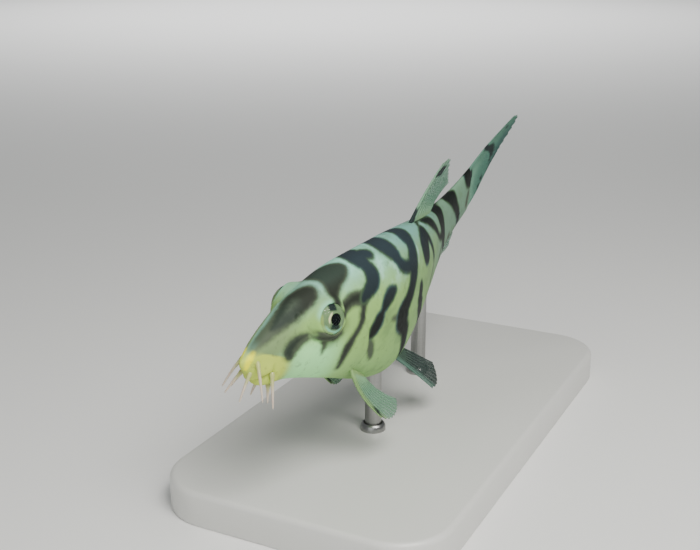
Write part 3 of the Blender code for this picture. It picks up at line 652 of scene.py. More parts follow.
YOYO_MARKS = (
    # A painted highlight on the upper lip: a bright yellow streak where the lip's front edge
    # catches the light
    Stroke(Mark.GILT, ((1.4, 42, 0.3), (1.1, 54, 0.45), (0.85, 80, 0.5), (0.7, 106, 0.45),
        (0.7, 140, 0.3)), True),
    # The dusky tip of the snout
    Patch(Mark.FAINT, ((1.5, -38), (1.3, -20), (1.3, 0), (1.5, 9), (2.2, 11), (3.3, 9), (4.6, 7),
        (6.2, 7), (7.0, 4), (6.8, -22), (5.6, -38), (4.2, -40), (2.4, -44))),
    # The blotch on the snout
    Patch(Mark.HEAD, ((4.9, -31), (4.3, -25), (4.1, -18), (4.4, -12), (4.8, -7), (5.4, -1),
        (6.1, 5), (7.0, 10), (7.9, 15), (8.9, 15.5), (9.4, 11.5), (10.3, 6), (10.9, 0), (11.3, -8),
        (11.4, -16), (11.25, -22), (10.8, -27), (10.0, -31.5), (9.0, -34.5), (8.0, -35), (7.3, -36),
        (6.5, -35.5), (5.7, -34))),
    # The band over the nape, down to the top of each eye
    Patch(Mark.HEAD, ((12.5, -48), (12.85, -40), (12.9, -28), (12.95, -12), (12.75, 0), (12.55, 10),
        (12.6, 18), (12.9, 26), (13.5, 34), (14.15, 32), (14.65, 28), (14.9, 23), (15.3, 17),
        (16.0, 10), (16.6, 2.5), (17.1, -5), (17.35, -12.5), (17.1, -19), (16.4, -25.5),
        (15.4, -30), (14.6, -35), (14.0, -42), (13.3, -48))),
    # The stripe from the eye to the mouth, and the crescent under the eye; the crescent and the
    # faint strokes along it are pigment with painted shade from the slit under the eye
    Stroke(Mark.HEAD, ((6.5, 101, 0.0), (6.3, 96, 0.35), (6.1, 90, 0.6), (6.15, 84, 0.6),
        (6.5, 79, 0.55), (7.0, 74.5, 0.4), (7.8, 71.5, 0.2), (8.6, 70, 0.0)), True),
    # Pigment with painted shade along the slit under the eye
    Stroke(Mark.HEAD, ((10.4, 77, 0.0), (11.0, 79, 0.15), (12.0, 80.5, 0.28), (13.1, 81.5, 0.25),
        (14.3, 79.5, 0.0)), True),
    Stroke(Mark.FAINT, ((8.0, 71, 0.1), (8.9, 70, 0.15), (9.3, 73, 0.2), (10.4, 78, 0.3),
        (11.8, 81.5, 0.3), (13.2, 82, 0.2)), True),
    Stroke(Mark.FAINT, ((6.5, 92, 0.5), (7.0, 82, 0.7), (8.0, 76, 0.55), (9.2, 75, 0.2)), True),
    Stroke(Mark.FAINT, ((11.6, 85, 0.45), (11.55, 91, 0.3), (11.5, 98, 0.1)), True),
    # The first bar over the shoulders, its rear lobe and its grey branch
    Stroke(Mark.BAR, ((18.9, -56, 0.5), (19.4, -54, 0.7), (20.1, -51, 0.9), (21.2, -44, 1.25),
        (21.3, -35, 1.2), (20.95, -27, 1.0), (20.7, -20, 1.15), (20.5, -12, 1.45), (20.3, -5, 1.5),
        (20.3, 0, 1.45), (20.6, 8, 1.35), (20.9, 15, 1.15), (21.2, 22, 1.1), (21.5, 32, 1.15),
        (21.3, 42, 1.2), (20.3, 51, 0.95), (19.2, 58, 0.55))),
    Stroke(Mark.BAR, ((21.4, -6, 0.9), (22.1, -9, 0.95), (22.6, -12, 0.85))),
    Patch(Mark.FAINT, ((13.9, 61), (14.4, 55), (15.2, 50), (16.4, 46.5), (17.8, 47.5), (19.2, 52),
        (19.3, 58), (18.2, 61), (17.2, 58.5), (16.3, 58), (15.4, 61), (14.6, 64)), True),
    Stroke(Mark.HEAD, ((14.3, 60, 0.2), (15.0, 56.5, 0.35), (16.1, 53.5, 0.4), (17.5, 53, 0.45),
        (18.8, 55, 0.4)), True),
    # The line down the cheek
    Stroke(Mark.HEAD, ((19.1, 57, 0.4), (18.8, 62, 0.3), (18.55, 68, 0.35), (18.3, 73.5, 0.3),
        (17.9, 78.5, 0.15), (17.15, 84.5, 0.2), (16.5, 91, 0.38), (16.15, 98, 0.42),
        (15.95, 107, 0.3), (15.85, 117, 0.15), (15.8, 126, 0.0)), True),
    Stroke(Mark.FAINT, ((9.6, 71, -0.1), (9.1, 65, -0.12), (8.8, 59, -0.2), (8.7, 54, -0.4)), True),
    # The chain of spots behind it
    Stroke(Mark.BAR, ((25.8, 60, 0.4), (24.8, 62.5, 0.9), (23.9, 67, 0.85), (23.1, 73, 0.45),
        (22.3, 80, 0.95), (21.5, 86, 0.9), (20.9, 91, 0.35)), True, -0.6),
    Stroke(Mark.FAINT, ((20.9, 97, 0.35), (21.5, 103, 0.65), (21.9, 110, 0.65), (22.4, 117, 0.35)),
        True, -0.6),
    # The second bar, a Y that joins the long third bar
    Stroke(Mark.BAR, ((31.0, -48, 0.9), (29.7, -46.5, 0.85), (28.6, -43, 0.85), (28.1, -37.5, 0.8),
        (27.7, -30, 1.05), (27.2, -22.5, 1.35), (26.75, -15, 1.5), (26.5, -7.5, 1.65),
        (26.5, 0, 1.5), (26.7, 7.5, 1.3), (27.1, 15, 1.1), (27.6, 26, 1.0), (28.2, 38, 0.9),
        (29.6, 46, 0.9), (31.2, 48, 0.9))),
    Stroke(Mark.BAR, ((32.2, -131, 0.5), (31.8, -122, 0.65), (31.2, -115, 0.7), (30.6, -107, 0.8),
        (30.0, -100, 0.95), (29.0, -93.5, 1.25), (28.4, -88, 1.6), (28.4, -83, 1.6),
        (28.9, -78.5, 1.35), (29.8, -73.5, 1.1), (30.6, -67.5, 1.05), (31.2, -61, 1.1),
        (31.65, -55, 1.2), (31.8, -49, 1.45), (32.1, -43.5, 1.4), (32.5, -37, 1.2),
        (32.7, -30, 1.15), (32.7, -22, 1.2), (32.6, -15, 1.4), (32.6, -7.5, 1.35), (32.5, 0, 1.2),
        (32.3, 8, 0.95), (32.3, 18, 0.9), (32.2, 30, 1.05), (31.9, 44, 1.25), (31.4, 56, 1.15),
        (30.4, 68, 1.05), (29.2, 80, 1.4), (28.9, 90, 1.4), (30.0, 102, 1.0), (31.2, 116, 0.8),
        (32.0, 130, 0.4))),
    Stroke(Mark.FAINT, ((25.6, 83, 0.2), (27.0, 84, 0.5), (28.0, 85, 0.6)), True),
    # The bar low on the side, and the looped fourth bar above it
    Stroke(Mark.BAR, ((34.6, 71, 0.6), (34.75, 76, 1.0), (34.7, 82, 1.1), (35.2, 88, 1.1),
        (36.1, 95, 1.0), (37.0, 102.5, 0.95), (37.8, 109, 0.85), (38.6, 117, 0.5)), True, 0.4),
    Patch(Mark.BAR, ((38.1, 60.5), (37.1, 56), (36.6, 49), (36.4, 42), (36.4, 36), (36.8, 30),
        (37.5, 24), (38.3, 18), (39.3, 14), (40.0, 18), (40.5, 24), (41.1, 31), (41.9, 38.5),
        (42.7, 46), (43.6, 53), (44.3, 60), (44.7, 67), (44.2, 67.5), (43.5, 60), (42.7, 54),
        (41.8, 48), (41.0, 42.5), (40.4, 40), (40.2, 45), (40.2, 52), (40.1, 58), (39.2, 61)), True,
        -0.5),
    Stroke(Mark.FAINT, ((44.6, 66, 0.35), (44.5, 72, 0.4), (43.8, 79, 0.5), (42.6, 85, 0.3)), True),
    # The line beside the root of the dorsal fin
    Stroke(Mark.BAR, ((38.9, -13, 0.2), (40.0, -2, 0.35), (41.3, 3, 0.5), (42.6, 8, 0.65),
        (44.6, 14, 0.6), (46.0, 19, 0.3))),
    # The arch on the rear of the back and the broad saddle behind it
    Patch(Mark.BAR, ((41.3, 7.5), (42.0, 13.5), (43.3, 20), (44.5, 27), (45.8, 33.5), (46.9, 39),
        (47.9, 44.5), (48.9, 50), (50.2, 56), (52.0, 61), (54.0, 64), (55.2, 60), (54.2, 54),
        (52.6, 52), (51.2, 50), (50.3, 46), (49.6, 39), (48.8, 31), (48.0, 22), (47.2, 14),
        (46.0, 7.5), (44.5, 4), (42.9, 3.5), (41.8, 4.5)), True),
    Patch(Mark.BAR, ((52.9, -45), (53.3, -54), (53.9, -61), (54.6, -68), (55.6, -76), (56.8, -86),
        (57.8, -96), (58.8, -106), (59.3, -104), (59.0, -96), (58.4, -84), (57.9, -73), (57.5, -63),
        (57.2, -52), (57.2, -41), (57.4, -30), (57.7, -18), (57.8, -8), (57.8, 0), (58.3, 6),
        (59.0, 12), (60.0, 18), (61.0, 27), (61.2, 38), (60.4, 50), (59.4, 61), (58.3, 66),
        (57.4, 62), (57.2, 52), (57.4, 40), (57.0, 27), (55.5, 17.5), (54.5, 11), (53.4, 5),
        (52.5, -1), (52.2, -8), (52.3, -14), (52.5, -21), (52.5, -28), (52.6, -37))),
    Stroke(Mark.FAINT, ((54.9, 70, 0.7), (54.4, 76, 0.6), (53.4, 81, 0.6), (52.6, 86, 0.4)), True),
    Stroke(Mark.FAINT, ((61.9, 90, 0.5), (62.6, 96, 0.9), (63.4, 103, 1.0), (64.2, 112, 0.9),
        (64.6, 124, 0.5)), True),
    # The bar on the tail stem and the one at the root of the tail
    Patch(Mark.BAR, ((69.7, -120), (69.2, -112), (68.9, -101), (68.4, -90), (67.6, -78),
        (66.9, -69), (66.3, -62), (65.7, -55), (65.1, -48), (64.5, -40), (63.8, -32), (63.1, -24),
        (62.5, -16), (62.25, -8), (62.4, 0), (62.6, 6), (62.9, 12), (63.6, 22), (64.6, 34),
        (65.8, 46), (66.8, 56), (67.6, 63), (68.5, 60), (68.3, 48), (67.6, 34), (66.8, 20),
        (66.4, 8), (67.0, 0), (67.4, -8), (67.6, -18), (67.75, -28), (67.85, -38), (68.1, -46),
        (68.5, -56), (69.1, -64), (69.6, -74), (70.0, -86), (70.3, -99), (70.3, -111))),
    Stroke(Mark.BAR, ((75.7, 6, 0.5), (75.2, 12, 1.1), (74.9, 22, 1.5), (74.85, 34, 1.55),
        (75.1, 45, 1.3), (75.5, 57, 0.7)), True),
    Stroke(Mark.FAINT, ((74.8, 74, 0.6), (74.4, 84, 0.7), (74.6, 100, 0.5)), True),
)


class Sock:
    """A socket of a shader node, or of a tree's input, used as a number in expressions."""

    def __init__(self, paint: "Paint", socket: NodeSocket) -> None:
        """Keep the paint whose tree the socket is in."""
        self.paint = paint
        self.socket = socket

    def __add__(self, other: "Term") -> "Sock":
        """The sum."""
        return self.paint.maths("ADD", self, other)

    def __radd__(self, other: "Term") -> "Sock":
        """The sum, with the number first."""
        return self.paint.maths("ADD", other, self)

    def __sub__(self, other: "Term") -> "Sock":
        """The difference."""
        return self.paint.maths("SUBTRACT", self, other)

    def __rsub__(self, other: "Term") -> "Sock":
        """The difference, with the number first."""
        return self.paint.maths("SUBTRACT", other, self)

    def __mul__(self, other: "Term") -> "Sock":
        """The product."""
        return self.paint.maths("MULTIPLY", self, other)

    def __rmul__(self, other: "Term") -> "Sock":
        """The product, with the number first."""
        return self.paint.maths("MULTIPLY", other, self)


Term = Union[Sock, float, Sequence[float]]


class Paint:
    """A material under construction: one Principled shader and the nodes that feed it."""

    def __init__(self, name: str, **constants: Term) -> None:
        """Start a material and set the shader's constant sockets.

        Args:
            name: The material's name.
            constants: Values of shader sockets, with underscores for the spaces.
        """
        self.material = bpy.data.materials.new(name)
        self.material.use_nodes = True
        self.tree = self.material.node_tree
        self.shader = self.tree.nodes["Principled BSDF"]
        self.dress(**constants)

    def node(self, kind: str, settings: Optional[dict] = None, out: Union[int, str] = 0,
             **inputs: Term) -> Sock:
        """Add a node.

        Args:
            kind: The node's type.
            settings: Its settings, set before its sockets.
            out: Name or number of the output that is wanted.
            inputs: Values or links of its sockets, keyed by name or as i0, i1 for a number.

        Returns:
            The output as a number or colour for expressions.
        """
        made = self.tree.nodes.new(kind)
        for key, value in (settings or {}).items():
            setattr(made, key, value)
        for key, value in inputs.items():
            index = int(key[1:]) if key[0] == "i" and key[1:].isdigit() else key.replace("_", " ")
            self.feed(made.inputs[index], value)
        return Sock(self, made.outputs[out])

    def feed(self, socket: NodeSocket, value: Term) -> None:
        """Link a socket, or set its value.

        Args:
            socket: The socket.
            value: A link or a value.
        """
        if isinstance(value, Sock):
            self.tree.links.new(value.socket, socket)
        elif isinstance(value, tuple) and len(value) == 3 and len(socket.default_value) == 4:
            socket.default_value = (*value, 1.0)
        else:
            socket.default_value = value

    def maths(self, operation: str, *values: Term) -> Sock:
        """A Math node on up to three numbers."""
        return self.node("ShaderNodeMath", {"operation": operation},
                         **{f"i{k}": value for k, value in enumerate(values)})

    def attribute(self, name: str) -> Sock:
        """A number kept on the mesh's points."""
        return self.node("ShaderNodeAttribute", {"attribute_name": name}, out="Fac")

    def place(self) -> Sock:
        """Object coordinates."""
        return self.node("ShaderNodeTexCoord", out="Object")

    def fade(self, value: Term, low: float, high: float) -> Sock:
        """A smooth step from 0 at low to 1 at high, which may also be the lower of the two."""
        return self.node("ShaderNodeMapRange", {"interpolation_type": "SMOOTHSTEP"}, i0=value,
                         i1=low, i2=high, i3=0.0, i4=1.0)

    def noise(self, scale: float, detail: float = 3.0, roughness: float = 0.5,
              vector: Optional[Sock] = None) -> Sock:
        """Fractal noise round 0.5."""
        return self.node("ShaderNodeTexNoise", out="Fac", Vector=vector or self.place(),
                         Scale=scale, Detail=detail, Roughness=roughness)

    def mix(self, factor: Term, first: Term, second: Term) -> Sock:
        """A colour between two colours.

        Args:
            factor: How much of the second.
            first: A colour.
            second: A colour.

        Returns:
            The colour.
        """
        made = self.tree.nodes.new("ShaderNodeMix")
        made.data_type = "RGBA"
        self.feed(made.inputs["Factor"], factor)
        self.feed(made.inputs[6], first)
        self.feed(made.inputs[7], second)
        return Sock(self, made.outputs[2])

    def relief(self, height: Term, distance: float, strength: float = 1.0) -> Sock:
        """A Bump node."""
        return self.node("ShaderNodeBump", Height=height, Distance=distance, Strength=strength)

    def dress(self, **inputs: Term) -> Material:
        """Feed the shader's varying sockets and give back the material.

        Args:
            inputs: Values or links, with underscores for the spaces.

        Returns:
            The material.
        """
        for key, value in inputs.items():
            self.feed(self.shader.inputs[key.replace("_", " ")], value)
        return self.material


@dataclass(frozen=True)
class SkinFinish:
    """Moist, finely scaled skin with blue-black bars and olive-brown head marks, and painted light
    and shade: sheen on the upper flank and bars, a highlight on the lips, shade towards the tail
    and under the eyes.
    """

    back: tuple = (0.27, 0.62, 0.48)
    flank: tuple = (0.27, 0.47, 0.135)
    belly: tuple = (0.29, 0.52, 0.17)
    cheek: tuple = (0.38, 0.84, 0.36)
    snout: tuple = (0.19, 0.28, 0.125)
    lips: tuple = (0.50, 0.62, 0.10)
    # Painted highlight: a bright yellow streak of reflected light on the upper lip
    gilt: tuple = (0.88, 0.88, 0.02)
    # Painted shade: the rear of the body, darker grey-green as the light falls off towards the tail
    tail: tuple = (0.15, 0.28, 0.185)
    bar: tuple = (0.010, 0.013, 0.0115)
    # Painted sheen on the upper part of the bars; lower down the bars stay darker
    bar_top: tuple = (0.026, 0.039, 0.047)
    bar_edge: tuple = (0.055, 0.095, 0.05)
    head_mark: tuple = (0.024, 0.029, 0.022)
    head_front: tuple = (0.028, 0.040, 0.030)
    # Painted highlight in the middle of the snout blotch, along the ridge of the snout
    head_core: tuple = (0.075, 0.10, 0.07)
    head_crest: tuple = (0.032, 0.049, 0.038)
    # Partly pigment, partly painted shade below and behind each eye
    dusk: tuple = (0.10, 0.14, 0.06)
    bar_blue: tuple = (0.05, 0.095, 0.10)
    faint: tuple = (0.066, 0.085, 0.055)
    mint: tuple = (0.26, 0.68, 0.48)
    crown: tuple = (0.17, 0.34, 0.25)
    # Painted shade: back and flank colours behind the shoulder, darker as the light falls off
    # towards the tail
    rear_back: tuple = (0.15, 0.34, 0.29)
    rear_flank: tuple = (0.21, 0.37, 0.13)
    mottle: tuple = (0.11, 0.19, 0.085)
    # Painted sheen: a speckled pale cyan highlight on the upper flank
    frost: tuple = (0.42, 0.78, 0.70)
    # Partly pigment, partly painted shade just under each eye
    eye_bag: tuple = (0.055, 0.05, 0.055)
    cell: float = 0.34 * MM

    def ground(self, paint: Paint, along: Sock, down: Sock, loose: Sock, grain: Sock) -> Sock:
        """The colours between the marks, from the lips to the tail.

        Args:
            paint: The material.
            along: Station in millimetres.
            down: Degrees down from the back.
            loose: Broad noise round 0.
            grain: Fine noise round 0.

        Returns:
            The colour.
        """
        # Painted shade: back and flank darken behind the shoulder
        behind = paint.fade(along + loose * 8.0, 21.0, 33.0)
        back = paint.mix(behind, self.back, self.rear_back)
        crown = paint.fade(along + loose * 2.0, 13.6, 11.4)
        back = paint.mix(crown * 0.8, back, self.crown)
        flank = paint.mix(behind, self.flank, self.rear_flank)
        colour = paint.mix(paint.fade(down, 12.0, 60.0), back, flank)
        colour = paint.mix(paint.fade(down, 85.0, 130.0), colour, self.belly)
        head = paint.fade(along + loose * 3.0, 17.0, 12.0)
        colour = paint.mix(head * paint.fade(down, 70.0, 95.0), colour, self.cheek)
        low = paint.fade(down, 55.0, 120.0)
        front = paint.fade(along + loose * 2.0 + low * 1.5, 10.5, 4.5)
        colour = paint.mix(front * paint.fade(down, 18.0, 38.0), colour, self.snout)
        lips = paint.attribute("lip_distance") + loose * 0.7 + grain * 0.4
        colour = paint.mix(paint.fade(lips, 1.15, -0.75), colour, self.lips)
        # Painted highlight along the upper lip's front edge
        gilt = paint.attribute(Mark.GILT.value) + grain * 0.3
        colour = paint.mix(paint.fade(gilt, 0.2, -0.35), colour, self.gilt)
        # Painted shade over the rear half of the body, down to the tail
        colour = paint.mix(paint.fade(along + loose * 6.0, 38.0, 58.0), colour, self.tail)
        mottle = paint.fade(paint.noise(260.0, 3.0, 0.55), 0.46, 0.68)
        colour = paint.mix(mottle * paint.fade(along, 14.0, 24.0) * 0.45, colour, self.mottle)
        # Painted sheen in pale speckles on the upper flank between the shoulder and the dorsal fin,
        # where the light falls
        frost = paint.fade(paint.noise(330.0, 3.0, 0.5), 0.5, 0.66) * paint.fade(down, 70.0, 30.0)
        frost = frost * paint.fade(along, 16.0, 21.0) * paint.fade(along, 46.0, 34.0)
        return paint.mix(frost * 0.45, colour, self.frost)

    def round_eyes(self, paint: Paint, colour: Sock, along: Sock, loose: Sock) -> Sock:
        """The mint mound over each eye, and the darker skin below and behind it, partly pigment and
        partly painted shade under the eye.

        Args:
            paint: The material.
            colour: The colour between the marks.
            along: Station in millimetres.
            loose: Broad noise round 0.

        Returns:
            The colour.
        """
        across, rise = paint.attribute("eye_across"), paint.attribute("eye_rise")
        mound = paint.fade(across, 2.7, 2.1) * paint.fade(rise, -0.2, 0.9)
        colour = paint.mix(mound * paint.fade(along, 13.4, 12.2) * 0.6, colour, self.mint)
        # Darker skin just under the eye: partly pigment, partly painted shade
        bag_and_shade = paint.fade(across + loose * 0.6, 3.2, 2.5) * paint.fade(rise, -0.8, -1.5)
        colour = paint.mix(bag_and_shade * 0.9, colour, self.eye_bag)
        # A broader dusky zone below and behind the eye: partly pigment, partly painted shade
        dusk = paint.fade(across + loose * 1.6, 4.6, 3.0) * paint.fade(rise, 0.2, -1.2)
        return paint.mix(dusk * paint.fade(along, 10.5, 12.5) * 0.6, colour, self.dusk)

    def make(self) -> Material:
        """The material, which reads the skin's attributes.

        Returns:
            The material.
        """
        paint = Paint("loach_skin", IOR=1.36, Specular_IOR_Level=0.16)
        along = paint.attribute("along")
        loose = paint.noise(180.0, 4.0, 0.6) - 0.5
        grain = paint.noise(1500.0, 3.0, 0.6) - 0.5
        down = paint.attribute("around") + loose * 34.0
        colour = self.ground(paint, along, down, loose, grain)
        colour = self.round_eyes(paint, colour, along, loose)
        freckle = paint.noise(900.0, 2.0, 0.7)
        colour = paint.mix(paint.fade(freckle, 0.56, 0.74) * 0.28, colour, self.faint)
        wander = loose * 0.6 + grain * 0.4
        faint = paint.fade(paint.attribute(Mark.FAINT.value) + wander, 0.6, -0.3)
        nose = paint.fade(along, 0.8, 2.8)
        colour = paint.mix(faint * (nose * 0.5 + 0.48), colour, self.faint)
        away = paint.attribute(Mark.HEAD.value) + wander
        colour = paint.mix(paint.fade(away, 0.9, 0.0), colour, self.faint)
        head_mark = paint.mix(paint.fade(along + loose * 4.0, 6.0, 9.5), self.head_front,
                              self.head_mark)
        crest = paint.fade(down, 36.0, 10.0) * paint.fade(along, 11.0, 12.5)
        head_mark = paint.mix(crest * (loose * 0.6 + 0.9), head_mark, self.head_crest)
        colour = paint.mix(paint.fade(away, 0.45, -0.4), colour, head_mark)
        # Painted highlight: the middle of the snout blotch is lighter where the ridge of the snout
        # catches the light
        ridge_highlight = paint.fade(away + grain * 0.6, -0.5, -1.9) * paint.fade(along, 9.8, 7.6)
        colour = paint.mix(ridge_highlight * (loose * 0.8 + 0.75), colour, self.head_core)
        away = paint.attribute(Mark.BAR.value) + wander
        blue = paint.fade(paint.noise(240.0, 2.0, 0.5), 0.5, 0.6) * paint.fade(along, 17.0, 21.0)
        edge = paint.mix(blue * 0.7, self.bar_edge, self.bar_blue)
        colour = paint.mix(paint.fade(away, 0.65, 0.0), colour, edge)
        # Painted sheen: the bars are lighter high on the front half of the body, where the light
        # falls, and darker lower down
        lit = paint.fade(down, 85.0, 30.0) * paint.fade(along, 46.0, 30.0)
        bar = paint.mix(lit * (loose * 0.5 + 0.85), self.bar, self.bar_top)
        colour = paint.mix(paint.fade(away, 0.3, -0.35), colour, bar)
        scales = paint.node("ShaderNodeTexVoronoi", {"feature": "SMOOTH_F1"}, out="Distance",
                            Vector=paint.place(), Scale=1.0 / self.cell, Smoothness=0.4)
        height = scales * 0.5 + paint.noise(420.0, 3.0, 0.55) * 0.9 + grain * 0.25
        rough = 0.51 + grain * 0.18 + paint.fade(away, 0.2, -0.4) * 0.06
        return paint.dress(Base_Color=colour, Roughness=rough,
                           Normal=paint.relief(height, 0.05 * MM, 0.5))


@dataclass(frozen=True)
class FinFinish:
    """A clear grey-green fin web with darker marks across its rays."""

    name: str
    web: tuple = (0.13, 0.29, 0.20)
    ray: tuple = (0.19, 0.36, 0.24)
    front: tuple = (0.17, 0.34, 0.21)
    mark: tuple = (0.02, 0.03, 0.03)
    root: tuple = (0.20, 0.36, 0.18)
    tip: tuple = (0.13, 0.29, 0.20)
    alpha: float = 0.5

    def make(self) -> Material:
        """The material, which reads how far out and across the fin a point is.

        Returns:
            The material.
        """
        paint = Paint("fin_" + self.name, IOR=1.36, Specular_IOR_Level=0.15)
        out, mark = paint.attribute("out"), paint.attribute("mark_distance")
        cloud = paint.noise(500.0, 3.0, 0.6)
        loose = cloud - 0.5
        fine = paint.noise(2600.0, 2.0, 0.6)
        colour = paint.mix(paint.fade(out + loose * 0.1, 0.0, 0.42), self.root, self.web)
        colour = paint.mix(paint.fade(out + loose * 0.2, 0.6, 0.85), colour, self.tip)
        ray = paint.attribute("ray")
        colour = paint.mix(ray * 0.75, colour, self.ray)
        front = paint.fade(paint.attribute("across") + loose * 0.1, 0.26, 0.06)
        colour = paint.mix(front * 0.85, colour, self.front)
        spot = paint.fade(mark + loose * 0.8, 0.3, -0.2)
        colour = paint.mix(spot, colour, self.mark)
        alpha = self.alpha + paint.fade(out, 0.3, 0.0) * 0.45 + spot * 0.38
        alpha = alpha + ray * 0.3 + loose * 0.12
        normal = paint.relief(fine * 0.6 + cloud * 0.6, 0.04 * MM, 0.35)
        return paint.dress(Base_Color=colour, Alpha=paint.maths("MINIMUM", alpha, 1.0),
                           Roughness=0.45 + cloud * 0.2, Normal=normal)


def add_object(name: str, data: ID) -> Object:
    """A new object of the scene that shows some data.

    Args:
        name: The object's name.
        data: A mesh, a light or a camera.

    Returns:
        The object.
    """
    made = bpy.data.objects.new(name, data)
    bpy.context.scene.collection.objects.link(made)
    return made


def settled_mesh(piece: Object) -> Mesh:
    """The plain mesh that an object's modifiers make. The modifiers are taken off it.

    Args:
        piece: The object.

    Returns:
        The mesh.
    """
    bpy.context.view_layer.update()
    seen = piece.evaluated_get(bpy.context.evaluated_depsgraph_get())
    made = bpy.data.meshes.new_from_object(seen)
    piece.modifiers.clear()
    return made


def face_out(mesh: Mesh) -> None:
    """Turn every face of a closed mesh outwards.

    Args:
        mesh: The mesh.
    """
    shape = bmesh.new()
    shape.from_mesh(mesh)
    bmesh.ops.recalc_face_normals(shape, faces=shape.faces)
    shape.to_mesh(mesh)
    shape.free()


def smooth_object(name: str, mesh: Mesh, material: Material,
                  slot: str, *nodes: str) -> Object:
    """A finished piece that rides on the body and stands for some CAD nodes.

    Args:
        name: The piece's name.
        mesh: Its mesh, in the row frame.
        material: Its finish.
        slot: The record's material slot; not used.
        nodes: The CAD nodes that it replaces.

    Returns:
        The piece.
    """
    mesh.shade_smooth()
    mesh.materials.clear()
    mesh.materials.append(material)
    piece = add_object(name, mesh)
    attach(piece, "root")
    if nodes:
        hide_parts(*nodes)
    LOG.info("%s: %d faces", name, len(mesh.polygons))
    return piece


def ring_faces(rings: int, sides: int, closed: bool = False) -> list:
    """Faces between rings of points that follow each other.

    Args:
        rings: How many rings there are.
        sides: How many points each of them has.
        closed: Whether the last ring is joined to the first.

    Returns:
        The faces.
    """
    faces = []
    for ring in range(rings if closed else rings - 1):
        low, high = ring * sides, (ring + 1) % rings * sides
        for side in range(sides):
            after = (side + 1) % sides
            faces.append((low + side, low + after, high + after, high + side))
    return faces


def add_numbers(mesh: Mesh, values: dict) -> None:
    """Keep numbers on a mesh's points.

    Args:
        mesh: The mesh.
        values: Attribute names and their numbers.
    """
    for key, numbers in values.items():
        layer = mesh.attributes.new(key, "FLOAT", "POINT")
        layer.data.foreach_set("value", np.ascontiguousarray(numbers, np.float32).ravel())


def grid_mesh(name: str, points: Array, faces: Sequence, values: dict) -> Mesh:
    """A mesh with a number at each point for every attribute.

    Args:
        name: The mesh's name.
        points: Its points.
        faces: Its faces, as tuples of indices.
        values: Attribute names and their numbers.

    Returns:
        The mesh.
    """
    mesh = bpy.data.meshes.new(name)
    mesh.from_pydata(points.tolist(), [], faces)
    add_numbers(mesh, values)
    mesh.update()
    return mesh


